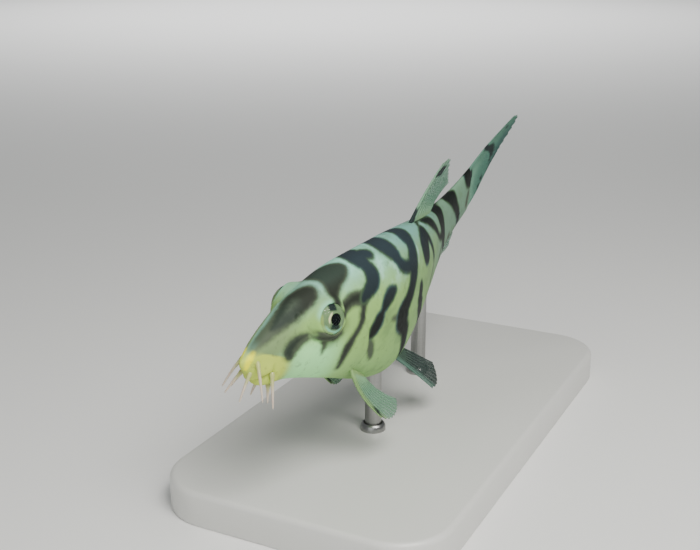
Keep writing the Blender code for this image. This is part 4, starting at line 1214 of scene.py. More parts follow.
@dataclass
class Skin:
    """One skin over the head, the trunk and the tail stem, with the marks of the species, a painted
    highlight on the lips and painted shade.
    """

    form: BodyForm
    finish: SkinFinish = field(default_factory=SkinFinish)
    head_rings: int = 170
    body_rings: int = 215
    sides: int = 216
    head_end: float = 22 * MM
    # Where the yellow of the lips ends, at some angles down from the back
    lip_angles: tuple = (0, 45, 65, 85, 91, 95, 99, 113, 180)
    lip_stations: tuple = (0.7, 0.8, 1.2, 2.0, 3.4, 5.0, 6.1, 6.4, 6.4)
    first_ring: float = 0.02 * MM
    eye_reach: float = 9.0
    map_margin: float = 0.02

    def round_eye(self, flat: Array) -> tuple:
        """Distance from the nearer eye's axis and height above it, in millimetres.

        Args:
            flat: Rows of station in millimetres and angle in degrees.

        Returns:
            The distance and the height.
        """
        station, side, height = self.form.local(flat[:, 0] * MM, np.radians(flat[:, 1]))
        away = (np.stack([station, np.abs(side), height], -1) - self.form.eye.centre) / MM
        along = away @ self.form.eye.axis
        across = np.sqrt(np.maximum(np.sum(away ** 2, -1) - along ** 2, 0.0))
        return (np.minimum(across, self.eye_reach),
                np.clip(away[:, 2], -self.eye_reach, self.eye_reach))

    def stations(self) -> Array:
        """Stations of the rings, closest together on the snout.

        Returns:
            The stations.
        """
        close = np.linspace(math.sqrt(self.first_ring), math.sqrt(self.head_end), self.head_rings)
        even = np.linspace(self.first_ring, self.head_end, self.head_rings)
        body = np.linspace(self.head_end, self.form.length, self.body_rings + 1)[1:]
        return np.concatenate([close ** 2 * 0.45 + even * 0.55, body])

    def distances(self, points: Array, flat: Array, kind: Mark) -> Array:
        """Distance in millimetres from each point to the nearest edge of a kind of mark.

        Args:
            points: Points of the skin.
            flat: Their stations in millimetres and angles in degrees.
            kind: The kind of mark.

        Returns:
            The distances, below 0 inside a mark.
        """
        best = np.full(len(points), FAR)
        for mark in YOYO_MARKS:
            if mark.kind is kind:
                rows = np.array(mark.path)[:, 0]
                near = (flat[:, 0] > rows.min() - FAR) & (flat[:, 0] < rows.max() + FAR)
                for side in mark.sides():
                    gap = mark.gap(self.form, points[near] / MM, flat[near], side)
                    best[near] = np.minimum(best[near], gap)
        return best

    def build(self) -> Object:
        """The skin's mesh with its attributes and its own map.

        Returns:
            The piece.
        """
        stations = self.stations()
        angles = np.linspace(-math.pi, math.pi, self.sides, endpoint=False)
        rings = self.form.point(stations[:, None], angles[None, :])
        points = rings.reshape(-1, 3)
        heights = np.array([self.form.profile("top", 0.0), 0.25 * MM])
        poles = self.form.spine.place(np.array([0.0, self.form.length + 0.15 * MM]), 0.0, heights)
        points = np.vstack([points, poles])
        grid = np.broadcast_arrays(stations[:, None] / MM, np.degrees(angles)[None, :])
        flat = np.stack(grid, -1)
        flat = np.vstack([flat.reshape(-1, 2), [(0.0, 90.0), (self.form.length / MM, 90.0)]])
        faces, corners = self.faces(len(stations))
        across, rise = self.round_eye(flat)
        values = {"along": flat[:, 0], "around": np.abs(flat[:, 1]), "eye_across": across,
                  "eye_rise": rise, "lip_distance": flat[:, 0] - np.interp(
                      np.abs(flat[:, 1]), self.lip_angles, self.lip_stations)}
        for kind in Mark:
            values[kind.value] = self.distances(points, flat, kind)
        mesh = grid_mesh("loach_skin", points, faces, values)
        layer = mesh.uv_layers.new(name="OFBake")
        layer.data.foreach_set("uv", np.array(corners, np.float32).ravel())
        return smooth_object("loach_skin", mesh, self.finish.make(), "skin",
                             "head", "trunk", "tail_stem")

    def faces(self, rings: int) -> tuple:
        """Faces of the rings and poles, with the place of each corner on the map.

        Args:
            rings: The number of rings.

        Returns:
            The faces and the places.
        """
        faces, corners = [], []
        sides, first, last = self.sides, rings * self.sides, rings * self.sides + 1
        edge = self.map_margin
        for ring in range(rings - 1):
            low, high = (edge + (1 - 2 * edge) * k / (rings - 1) for k in (ring, ring + 1))
            for side in range(sides):
                after = (side + 1) % sides
                a, b = ring * sides + side, ring * sides + after
                faces.append((a, a + sides, b + sides, b))
                u, v = side / sides, (side + 1) / sides
                corners += [(low, u), (high, u), (high, v), (low, v)]
        for side in range(sides):
            after, base = (side + 1) % sides, (rings - 1) * sides
            u, v = side / sides, (side + 1) / sides
            faces.append((side, after, first))
            corners += [(edge, u), (edge, v), (0.0, (u + v) / 2)]
            faces.append((base + after, base + side, last))
            corners += [(1 - edge, v), (1 - edge, u), (1.0, (u + v) / 2)]
        return faces, corners


@dataclass(frozen=True)
class PathTubes:
    """Geometry Nodes that lay a tapered tube along every edge path of a mesh.

    The mesh's points hold the attribute "thick", half the width of the tube there.
    """

    sides: int = 8

    def tree(self, material: Material) -> NodeTree:
        """The node tree, with its sizes as named inputs.

        Args:
            material: The tubes' finish.

        Returns:
            The tree.
        """
        tree = bpy.data.node_groups.new("path_tubes", "GeometryNodeTree")
        for label, way, kind in (("Paths", "INPUT", "Geometry"), ("Tube sides", "INPUT", "Int"),
                                 ("Thickness", "INPUT", "Float"), ("Tubes", "OUTPUT", "Geometry")):
            tree.interface.new_socket(label, in_out=way, socket_type="NodeSocket" + kind)
        nodes, links = tree.nodes, tree.links
        source, result = nodes.new("NodeGroupInput"), nodes.new("NodeGroupOutput")
        to_curve = nodes.new("GeometryNodeMeshToCurve")
        thick = nodes.new("GeometryNodeInputNamedAttribute")
        thick.data_type = "FLOAT"
        thick.inputs["Name"].default_value = "thick"
        grow = nodes.new("ShaderNodeMath")
        grow.operation = "MULTIPLY"
        ring = nodes.new("GeometryNodeCurvePrimitiveCircle")
        ring.inputs["Radius"].default_value = 1.0
        sweep = nodes.new("GeometryNodeCurveToMesh")
        sweep.inputs["Fill Caps"].default_value = True
        smooth = nodes.new("GeometryNodeSetShadeSmooth")
        real = nodes.new("GeometryNodeRealizeInstances")
        coat = nodes.new("GeometryNodeSetMaterial")
        coat.inputs["Material"].default_value = material
        radius = nodes.new("GeometryNodeSetCurveRadius")
        for start, end in (
                (source.outputs["Paths"], to_curve.inputs["Mesh"]),
                (thick.outputs["Attribute"], grow.inputs[0]),
                (source.outputs["Thickness"], grow.inputs[1]),
                (to_curve.outputs["Curve"], radius.inputs["Curve"]),
                (grow.outputs["Value"], radius.inputs["Radius"]),
                (source.outputs["Tube sides"], ring.inputs["Resolution"]),
                (radius.outputs["Curve"], sweep.inputs["Curve"]),
                (ring.outputs["Curve"], sweep.inputs["Profile Curve"]),
                (sweep.outputs["Mesh"], smooth.inputs["Geometry"]),
                (smooth.outputs["Geometry"], real.inputs["Geometry"]),
                (real.outputs["Geometry"], coat.inputs["Geometry"]),
                (coat.outputs["Geometry"], result.inputs["Tubes"])):
            links.new(start, end)
        if "Scale" in sweep.inputs:
            links.new(grow.outputs["Value"], sweep.inputs["Scale"])
        return tree

    def build(self, name: str, paths: Sequence[Array], widths: Sequence[Array], values: dict,
              material: Material) -> Mesh:
        """A plain mesh of closed tubes.

        Args:
            name: The mesh's name.
            paths: Points of each path.
            widths: Half the tube's width at each point of each path.
            values: More numbers at every point, keyed by attribute name.
            material: The tubes' finish.

        Returns:
            The mesh.
        """
        points = np.concatenate(paths)
        edges, start = [], 0
        for path in paths:
            edges += [(start + k, start + k + 1) for k in range(len(path) - 1)]
            start += len(path)
        mesh = bpy.data.meshes.new(name + "_paths")
        mesh.from_pydata(points.tolist(), edges, [])
        add_numbers(mesh, {"thick": np.concatenate(widths), **values})
        carrier = add_object(name + "_paths", mesh)
        modifier = carrier.modifiers.new("tubes", "NODES")
        modifier.node_group = self.tree(material)
        sizes = {"Tube sides": self.sides, "Thickness": 1.0}
        for item in modifier.node_group.interface.items_tree:
            if item.in_out == "INPUT" and item.name in sizes:
                modifier[item.identifier] = sizes[item.name]
        made = settled_mesh(carrier)
        bpy.data.objects.remove(carrier)
        made.name = name
        return made


@dataclass(frozen=True)
class Spot:
    """A dark spot on a fin: how far across and out, its half width and half height, in mm."""

    across: float
    out: float
    wide: float
    high: float


@dataclass(frozen=True)
class Branch:
    """A stretch of a fin ray.

    It runs from start to end, shares of the ray's length, while it moves sideways from begin to
    finish, shares of the pitch. Thick is its thickness beside that of a soft ray's stem.
    """

    start: float
    end: float
    begin: float
    finish: float
    thick: float


HARD_RAY = (Branch(0.0, 1.0, 0.0, 0.0, 1.35),)
# A soft ray forks twice on its way out
SOFT_RAY = (Branch(0.0, 0.42, 0.0, 0.0, 1.0),
            Branch(0.40, 0.70, 0.0, 0.16, 0.74), Branch(0.40, 0.70, 0.0, -0.16, 0.74),
            Branch(0.68, 0.99, 0.16, 0.30, 0.55), Branch(0.68, 0.99, 0.16, 0.07, 0.55),
            Branch(0.68, 0.99, -0.16, -0.30, 0.55), Branch(0.68, 0.99, -0.16, -0.07, 0.55))


@dataclass
class Fin:
    """A fin's middle surface, with a share across its root and a share out along its rays."""

    name: str
    form: BodyForm
    knots: tuple
    lengths: tuple
    rays: int
    spots: tuple = ()
    hard_rays: int = 1
    columns_per_ray: int = 6
    rows: int = 44
    web: float = 0.17 * MM
    ray_root: float = 0.21 * MM
    ray_tip: float = 0.045 * MM
    notch: float = 0.03
    ripple: float = 0.06 * MM
    root_swell: float = 0.35 * MM
    ray_joints: int = 26
    spot_reach: float = 3.0

    def root(self, share: Array) -> Array:
        """Points along the root."""
        raise NotImplementedError

    def aim(self, share: Array) -> Array:
        """Directions of the rays."""
        raise NotImplementedError

    def curl(self, share: Array) -> Array:
        """How the rays bend towards their tips."""
        raise NotImplementedError

    def reach(self, share: Array) -> Array:
        """Length of the fin's rays, with the web a little shorter between them.

        Args:
            share: Places across the fin, 0 to 1.

        Returns:
            The lengths.
        """
        whole = spline(np.array(self.knots), np.array(self.lengths) * MM, share)
        valley = 0.5 - 0.5 * np.cos(2 * np.pi * share * (self.rays - 1))
        return whole * (1.0 - self.notch * valley)

    def surface(self, share: Array, out: Array) -> Array:
        """Points of the middle surface, which curls towards its tips.

        Args:
            share: Places across the fin, 0 to 1.
            out: Shares of the way out.

        Returns:
            The points.
        """
        reach = self.reach(share)[..., None]
        out = np.expand_dims(out, -1)
        straight = self.root(share) + self.aim(share) * reach * out
        return straight + self.curl(share) * reach * out ** 2

    def normals(self, points: Array) -> Array:
        """Unit normals of a grid of points."""
        return unit(np.cross(np.gradient(points, axis=0), np.gradient(points, axis=1)))

    def mark_distance(self, share: Array, out: Array) -> Array:
        """Distance in millimetres to the nearest dark spot.

        Args:
            share: Places across the fin, 0 to 1.
            out: Shares of the way out.

        Returns:
            The distances.
        """
        best = np.full(np.broadcast(share, out).shape, self.spot_reach)
        width = self.root_width() / MM
        for spot in self.spots:
            reach = float(self.reach(np.array(spot.across))) / MM
            across = (share - spot.across) * width * (1.0 + 1.2 * out) / spot.wide
            along = (out - spot.out) * reach / spot.high
            size = min(spot.wide, spot.high)
            best = np.minimum(best, (np.hypot(across, along) - 1.0) * size)
        return best

    def root_width(self) -> float:
        """Length of the fin's root."""
        ends = self.root(np.array([0.0, 1.0]))
        return float(np.linalg.norm(ends[1] - ends[0]))

    def build_web(self, material: Material) -> Mesh:
        """The thin web, as a closed sheet that thins towards its margin.

        Args:
            material: The fin's finish.

        Returns:
            The mesh.
        """
        columns = (self.rays - 1) * self.columns_per_ray + 1
        share = np.linspace(0.0, 1.0, columns)
        out = np.linspace(0.0, 1.0, self.rows)
        share_grid, out_grid = np.meshgrid(share, out, indexing="ij")
        middle = self.surface(share_grid, out_grid)
        normal = self.normals(middle)
        phase = np.cos(2 * np.pi * share_grid * (self.rays - 1))
        middle = middle + normal * (self.ripple * phase * smoothstep(0.1, 0.6, out_grid))[..., None]
        thick = self.web * (1.0 - 0.72 * smoothstep(0.3, 1.0, out_grid))
        thick = thick + self.root_swell * bump(out_grid, 0.07)
        offset = normal * (thick / 2)[..., None]
        points = np.vstack([(middle + offset).reshape(-1, 3), (middle - offset).reshape(-1, 3)])
        rows, back = self.rows, columns * self.rows
        faces = []
        for column in range(columns - 1):
            for row in range(rows - 1):
                a, b = column * rows + row, (column + 1) * rows + row
                faces.append((a, b, b + 1, a + 1))
                faces.append((back + a + 1, back + b + 1, back + b, back + a))
        rim = [column * rows for column in range(columns)]
        rim += [(columns - 1) * rows + row for row in range(1, rows)]
        rim += [column * rows + rows - 1 for column in range(columns - 2, -1, -1)]
        rim += list(range(rows - 2, 0, -1))
        for first, second in zip(rim, rim[1:] + rim[:1]):
            faces.append((second, first, back + first, back + second))
        marks = self.mark_distance(share_grid, out_grid).ravel()
        values = {"out": np.tile(out_grid.ravel(), 2), "across": np.tile(share_grid.ravel(), 2),
                  "mark_distance": np.tile(marks, 2), "ray": np.zeros(len(points))}
        mesh = grid_mesh(self.name + "_web", points, faces, values)
        mesh.materials.append(material)
        return mesh

    def ray_paths(self) -> tuple:
        """Paths of the rays, which fork twice on their way out, and their half widths.

        Returns:
            The paths, the half widths and the attributes.
        """
        paths, widths, outs, shares, marks = [], [], [], [], []
        pitch = 1.0 / (self.rays - 1)
        for k in range(self.rays):
            for part in HARD_RAY if k < self.hard_rays else SOFT_RAY:
                if (k == 0 and part.finish < 0) or (k == self.rays - 1 and part.finish > 0):
                    continue
                length = part.end - part.start
                out = np.linspace(part.start, part.end, max(int(length * 40), 8))
                ease = smoothstep(0.0, 1.0, (out - part.start) / length)
                sideways = between((part.begin, part.finish), ease)
                share = np.clip(k * pitch + pitch * sideways, 0.0, 1.0)
                paths.append(self.surface(share, out))
                joints = np.cos(out * 2 * np.pi * self.ray_joints) * smoothstep(0.15, 0.3, out)
                taper = between((self.ray_root, self.ray_tip), out ** 0.8) * part.thick
                widths.append(taper * (1.0 + 0.12 * joints))
                outs.append(out)
                shares.append(share)
                marks.append(self.mark_distance(share, out))
        values = {"out": np.concatenate(outs), "across": np.concatenate(shares),
                  "mark_distance": np.concatenate(marks),
                  "ray": np.ones(sum(len(path) for path in paths))}
        return paths, widths, values

    def build(self, finish: FinFinish) -> None:
        """The web and the rays, as two pieces that stand for the CAD fin.

        Args:
            finish: The fin's finish.
        """
        material = finish.make()
        smooth_object(self.name + "_web", self.build_web(material), material, "fins", self.name)
        paths, widths, values = self.ray_paths()
        rays = PathTubes(6).build(self.name + "_rays", paths, widths, values, material)
        smooth_object(self.name + "_rays", rays, material, "fins", self.name)


@dataclass
class RootedFin(Fin):
    """A fin whose root runs along the body between two stations."""

    start: float = 0.0
    end: float = 0.0

    def station(self, share: Array) -> Array:
        """Station of each place of the root."""
        return between((self.start, self.end), share)


@dataclass
class MedianFin(RootedFin):
    """A fin on the ridge of the back, or under the belly where side_up is -1."""

    leans: tuple = (0.0, 0.0)
    sway: tuple = (0.0, 0.0)
    side_up: int = 1

    def root(self, share: Array) -> Array:
        """Points along the ridge, a little inside the skin."""
        angle = np.full(np.shape(share), 0.0 if self.side_up > 0 else math.pi)
        return self.form.point(self.station(share), angle, -0.1 * MM)

    def aim(self, share: Array) -> Array:
        """Directions that lean back along the body.

        Args:
            share: Places across the fin, 0 to 1.

        Returns:
            The directions.
        """
        lean = np.radians(between(self.leans, share ** 0.8))
        return self.form.spine.direction(self.station(share), np.cos(lean), 0 * lean,
                                         self.side_up * np.sin(lean))

    def curl(self, share: Array) -> Array:
        """A sway towards one side."""
        sway = between(self.sway, np.expand_dims(share, -1))
        return self.form.spine.read(self.form.spine.right, self.station(share)) * sway


@dataclass
class TailFin(Fin):
    """The forked fin on the end of the tail stem."""

    root_share: float = 0.9
    leans: tuple = (6.5, 2.0)
    sway: tuple = (-0.07, 0.12)

    def root(self, share: Array) -> Array:
        """Points down the end of the tail stem.

        Args:
            share: Places across the fin, 0 to 1.

        Returns:
            The points.
        """
        length = self.form.length
        ends = [self.form.profile(name, length) * self.root_share for name in ("top", "bottom")]
        return self.form.spine.place(length - 0.3 * MM + 0 * share, 0.0, between(ends, share))

    def aim(self, share: Array) -> Array:
        """Directions that open from the stem's own line.

        Args:
            share: Places across the fin, 0 to 1.

        Returns:
            The directions.
        """
        spread = np.radians(between(self.leans, share))
        return self.form.spine.direction(self.form.length + 0 * share, np.cos(spread), 0 * share,
                                         np.sin(spread))

    def curl(self, share: Array) -> Array:
        """The lobes sway towards opposite sides.

        Args:
            share: Places across the fin, 0 to 1.

        Returns:
            The sway.
        """
        sway = between(self.sway, share ** 2)
        right = self.form.spine.read(self.form.spine.right, self.form.length + 0 * share)
        return right * np.expand_dims(sway, -1)


@dataclass
class PairedFin(RootedFin):
    """A pectoral or pelvic fin of one side."""

    side: Side = Side.LEFT
    angles: tuple = (0.0, 0.0)
    aims: tuple = ((0.0, 0.0, 0.0), (0.0, 0.0, 0.0))
    bend: tuple = (0.0, 0.0, 0.0)

    def root(self, share: Array) -> Array:
        """Points along the fin's root, a little inside the skin."""
        angle = self.side.value * np.radians(between(self.angles, share))
        return self.form.point(self.station(share), angle, -0.1 * MM)

    def aim(self, share: Array) -> Array:
        """Directions between those of the first and the last ray.

        Args:
            share: Places across the fin, 0 to 1.

        Returns:
            The directions.
        """
        parts = between(np.array(self.aims), np.expand_dims(share, -1))
        return self.form.spine.direction(self.station(share), parts[..., 0],
                                         parts[..., 1] * self.side.value, parts[..., 2])

    def curl(self, share: Array) -> Array:
        """The bend towards the tips, as shares aft, outwards and up.

        Args:
            share: Places across the fin, 0 to 1.

        Returns:
            The bend.
        """
        aft, outward, up = (value + 0 * share for value in self.bend)
        way = self.form.spine.direction(self.station(share), aft, outward * self.side.value, up)
        return way * math.hypot(*self.bend)


@dataclass(frozen=True)
class BarbelFinish:
    """Pale flesh-pink feelers that are yellower at their roots."""

    tip: tuple = (0.56, 0.47, 0.38)
    root: tuple = (0.42, 0.46, 0.16)

    def make(self) -> Material:
        """The material of the feelers' skin.

        Returns:
            The material.
        """
        paint = Paint("barbels", IOR=1.4, Subsurface_Weight=0.2, Subsurface_Scale=0.5 * MM,
                      Subsurface_Radius=(1.0, 0.5, 0.35), Coat_Weight=0.3, Coat_Roughness=0.15)
        cloud = paint.noise(1600.0, 3.0, 0.6)
        out = paint.attribute("out") + (cloud - 0.5) * 0.4
        colour = paint.mix(paint.fade(out, 0.0, 0.6), self.root, self.tip)
        rings = paint.maths("SINE", paint.attribute("out") * 190.0)
        return paint.dress(Base_Color=colour, Roughness=0.34 + cloud * 0.15,
                           Normal=paint.relief(cloud + rings * 0.25, 0.03 * MM, 0.5))


@dataclass(frozen=True)
class Barbel:
    """One kind of feeler: its root, its aims on both sides, its length and its droop."""

    kind: str
    station: float
    angle: float
    left_aim: tuple
    right_aim: tuple
    length: float
    droop: float
    root_radius: float
    slimming: float = 0.64
    tip_radius: float = 0.085 * MM
    buried: float = 0.16
    root_swell: float = 0.35

    def path(self, form: BodyForm, side: Side, points: int = 40) -> tuple:
        """Points, half widths and shares along the feeler on one side.

        Args:
            form: The body.
            side: The side.
            points: How many points.

        Returns:
            The points, half widths and shares.
        """
        angle = side.value * math.radians(self.angle)
        station = np.array(self.station)
        root = form.point(station, np.array(angle), 0.3 * MM)
        aft, outward, up = self.left_aim if side is Side.LEFT else self.right_aim
        aim = form.spine.direction(station, aft, outward * side.value, up)
        fall = form.spine.direction(station, 0.2, 0.0, -1.0) * self.droop
        share = np.linspace(-self.buried, 1.0, points)
        line = share[:, None]
        path = root + (aim * line + fall * np.clip(line, 0.0, 1.0) ** 2) * self.length
        bare = np.clip(share, 0.0, 1.0)
        radius = between((self.root_radius * self.slimming, self.tip_radius), bare ** 1.2)
        radius = radius * (1.0 + self.root_swell * bump(share + 0.05, 0.12))
        radius = radius * np.sqrt(np.clip((1.004 - share) / 0.04, 0.02, 1.0))
        return path, radius, share


@dataclass
class Feelers:
    """The four pairs of barbels round the mouth."""

    form: BodyForm
    kinds: tuple = (
        Barbel("rostral_inner", 1.3 * MM, 153.0, (-0.45, 0.05, -0.88), (-0.38, 0.38, -0.82),
               3.0 * MM, 0.15, 0.36 * MM),
        Barbel("rostral_outer", 1.9 * MM, 112.0, (-0.3, 0.6, -0.72), (-0.3, 0.45, -0.84),
               3.6 * MM, 0.3, 0.38 * MM),
        Barbel("maxillary", 4.3 * MM, 128.0, (-0.2, 0.4, -0.9), (-0.15, 0.55, -0.8),
               3.4 * MM, 0.2, 0.4 * MM),
        Barbel("mandibular", 5.2 * MM, 165.0, (-0.1, 0.25, -0.95), (-0.1, 0.25, -0.95),
               2.0 * MM, 0.1, 0.38 * MM))

    def build(self) -> None:
        """Each feeler as a smooth tapered tube with a round tip."""
        material = BarbelFinish().make()
        for barbel in self.kinds:
            for side in Side:
                path, radius, share = barbel.path(self.form, side)
                node = f"{barbel.kind}_barbel_{side.label}"
                mesh = PathTubes(20).build(node + "_skin", [path], [radius], {"out": share},
                                           material)
                smooth_object(node + "_skin", mesh, material, "barbels", node)


@dataclass(frozen=True)
class EyeFinish:
    """Iris and pupil behind a clear cornea."""

    iris: tuple = (0.17, 0.29, 0.135)
    streak: tuple = (0.22, 0.36, 0.16)
    cream: tuple = (0.90, 0.95, 0.50)
    mint: tuple = (0.30, 0.80, 0.50)
    lime: tuple = (0.45, 0.62, 0.16)
    dark: tuple = (0.010, 0.030, 0.020)
    lid: tuple = (0.004, 0.008, 0.016)
    pupil: tuple = ((0.001, 0.001, 0.0015), (0.003, 0.003, 0.004))

    def make_iris(self) -> Material:
        """Pale green iris with a cream crescent before the pupil and a mint one below it.

        Returns:
            The material.
        """
        paint = Paint("eye_iris", IOR=1.36, Specular_IOR_Level=0.3)
        fore, rise = paint.attribute("iris_fore"), paint.attribute("iris_rise")
        out = paint.attribute("iris_out")
        cloud = paint.noise(1500.0, 3.0, 0.6)
        loose = (cloud - 0.5) * 0.1
        colour = paint.mix(paint.fade(cloud, 0.38, 0.66), self.iris, self.streak)
        low = fore * 0.1 - rise
        under = paint.fade(low + loose, 0.28, 0.42) * paint.fade(low + loose, 0.74, 0.62)
        colour = paint.mix(under * paint.fade(paint.maths("ABSOLUTE", fore), 0.5, 0.25), colour,
                           self.dark)
        rim = paint.fade(out + loose, 0.72, 0.82) * paint.fade(low + loose, 0.35, 0.7)
        colour = paint.mix(rim, colour, self.mint)
        rim = paint.fade(out + loose, 0.86, 0.93) * paint.fade(fore + low * 0.8 + loose, 0.6, 0.9)
        colour = paint.mix(rim * 0.7, colour, self.lime)
        ring = paint.fade(out + loose, 0.42, 0.46) * paint.fade(out + loose, 0.62, 0.54)
        front = paint.fade(fore * 0.95 + rise * 0.3 + loose, 0.34, 0.46)
        colour = paint.mix(front * ring, colour, self.cream)
        top = paint.fade(rise + loose, 0.5, 0.66) * paint.fade(fore, 0.55, 0.35)
        colour = paint.mix(top * paint.fade(fore, -0.25, -0.05) * 0.95, colour, self.lid)
        return paint.dress(Base_Color=colour, Roughness=0.4 + cloud * 0.2,
                           Normal=paint.relief(cloud, 0.03 * MM, 0.4))

    def make_pupil(self) -> Material:
        """The black lens.

        Returns:
            The material.
        """
        paint = Paint("eye_pupil", IOR=1.36, Specular_IOR_Level=0.05)
        cloud = paint.noise(900.0, 2.0, 0.5)
        return paint.dress(Base_Color=paint.mix(cloud, *self.pupil),
                           Roughness=0.45 + cloud * 0.1)

    def make_cornea(self) -> Material:
        """The clear dome, a film of which only the gloss is seen.

        Returns:
            The material.
        """
        paint = Paint("eye_cornea", IOR=1.376, Base_Color=(0.02, 0.03, 0.03))
        film = paint.noise(700.0, 2.0, 0.5)
        return paint.dress(Roughness=0.04 + film * 0.04, Alpha=0.08 + film * 0.05)


@dataclass
class Eyes:
    """Both eyes: a ball with the iris painted on it, a black lens and a clear dome."""

    form: BodyForm
    finish: EyeFinish = field(default_factory=EyeFinish)
    # Widths and depths, as shares of the eyeball's, with the angle at which each piece ends
    ball: tuple = (1.04, 0.97, math.pi)
    lens: tuple = ((0.93, 0.90), (0.98, 0.985), math.radians(22.5))
    dome: tuple = ((1.05, 0.99), (1.06, 1.0), math.radians(66.0))
    segments: int = 96
    ball_rings: int = 64
    cap_rings: int = 26

    def spun(self, name: str, outline: Sequence, side: Side) -> Mesh:
        """A closed profile spun round the way an eye looks.

        Args:
            name: The mesh's name.
            outline: Radius and height of each ring in the unit ball, from one point on the
                axis to the other.
            side: The side of the eye.

        Returns:
            The mesh, facing out, in place.
        """
        matrix = self.form.eye.matrix(self.form.spine, side)
        turn = np.linspace(0.0, 2 * np.pi, self.segments, endpoint=False)
        inner, sides = outline[1:-1], self.segments
        points = [(r * math.cos(t), r * math.sin(t), z) for r, z in inner for t in turn]
        faces = ring_faces(len(inner), sides)
        first, last, base = len(points), len(points) + 1, (len(inner) - 1) * sides
        points += [(0.0, 0.0, outline[0][1]), (0.0, 0.0, outline[-1][1])]
        faces += [((s + 1) % sides, s, first) for s in range(sides)]
        faces += [(base + s, base + (s + 1) % sides, last) for s in range(sides)]
        world = np.array([matrix @ Vector(point) for point in points])
        away = (world - np.array(matrix.translation)) / self.form.orbit_radius
        look = np.array(matrix.to_3x3() @ Vector((0.0, 0.0, 1.0 / self.form.eye.deep)))
        up = self.form.spine.direction(np.array(self.form.eye.centre[0]), 0.0, 0.0, 1.0)
        up = unit(up - look * (up @ look))
        rise, fore = away @ up, away @ (np.cross(up, look) * side.value)
        mesh = grid_mesh(name, world, faces, {"iris_fore": fore, "iris_rise": rise,
                                              "iris_out": np.hypot(fore, rise)})
        face_out(mesh)
        return mesh

    def shell(self, low: tuple, high: tuple, edge: float) -> list:
        """The outline of a cap between two sizes of ball, out to an edge.

        Args:
            low: Half width and depth of the inner ball.
            high: The same of the outer ball.
            edge: How far round the cap reaches, in radians.

        Returns:
            The outline.
        """
        angles = np.linspace(0.0, edge, self.cap_rings)
        return [(size[0] * math.sin(a), size[1] * math.cos(a))
                for size, order in ((high, angles), (low, angles[::-1])) for a in order]

    def build(self) -> None:
        """The three pieces of each eye."""
        wide, deep, edge = self.ball
        ball = [(wide * math.sin(a), -deep * math.cos(a))
                for a in np.linspace(0.0, edge, self.ball_rings)]
        pieces = (("iris", ball, self.finish.make_iris()),
                  ("pupil", self.shell(*self.lens), self.finish.make_pupil()),
                  ("cornea", self.shell(*self.dome), self.finish.make_cornea()))
        for side in Side:
            node = "eye_" + side.label
            for part, outline, material in pieces:
                name = node + "_" + part
                smooth_object(name, self.spun(name, outline, side), material, "eyes", node)


@dataclass(frozen=True)
class LacquerFinish:
    """Off-white lacquer with a fine orange-peel surface."""

    colours: tuple = ((0.66, 0.66, 0.63), (0.62, 0.62, 0.60))

    def make(self) -> Material:
        """The material of the base.

        Returns:
            The material.
        """
        paint = Paint("stand_lacquer", IOR=1.5, Coat_Weight=0.25, Coat_Roughness=0.2)
        cloud = paint.noise(60.0, 4.0, 0.6)
        peel = paint.noise(1800.0, 2.0, 0.5)
        return paint.dress(Base_Color=paint.mix(cloud, *self.colours),
                           Roughness=0.36 + peel * 0.14,
                           Normal=paint.relief(peel, 0.03 * MM, 0.15))


@dataclass(frozen=True)
class SteelFinish:
    """Brushed steel, with the brush marks round the rod."""

    colours: tuple = ((0.30, 0.30, 0.30), (0.42, 0.42, 0.41))
    stretch: tuple = (300, 300, 9000)

    def make(self) -> Material:
        """The material of the rods and collars.

        Returns:
            The material.
        """
        paint = Paint("stand_steel", Metallic=1.0)
        stretched = paint.node("ShaderNodeMapping", Vector=paint.place(), Scale=self.stretch)
        marks = paint.noise(1.0, 3.0, 0.6, stretched)
        return paint.dress(Base_Color=paint.mix(marks, *self.colours),
                           Roughness=0.24 + marks * 0.2,
                           Normal=paint.relief(marks, 0.01 * MM, 0.3))


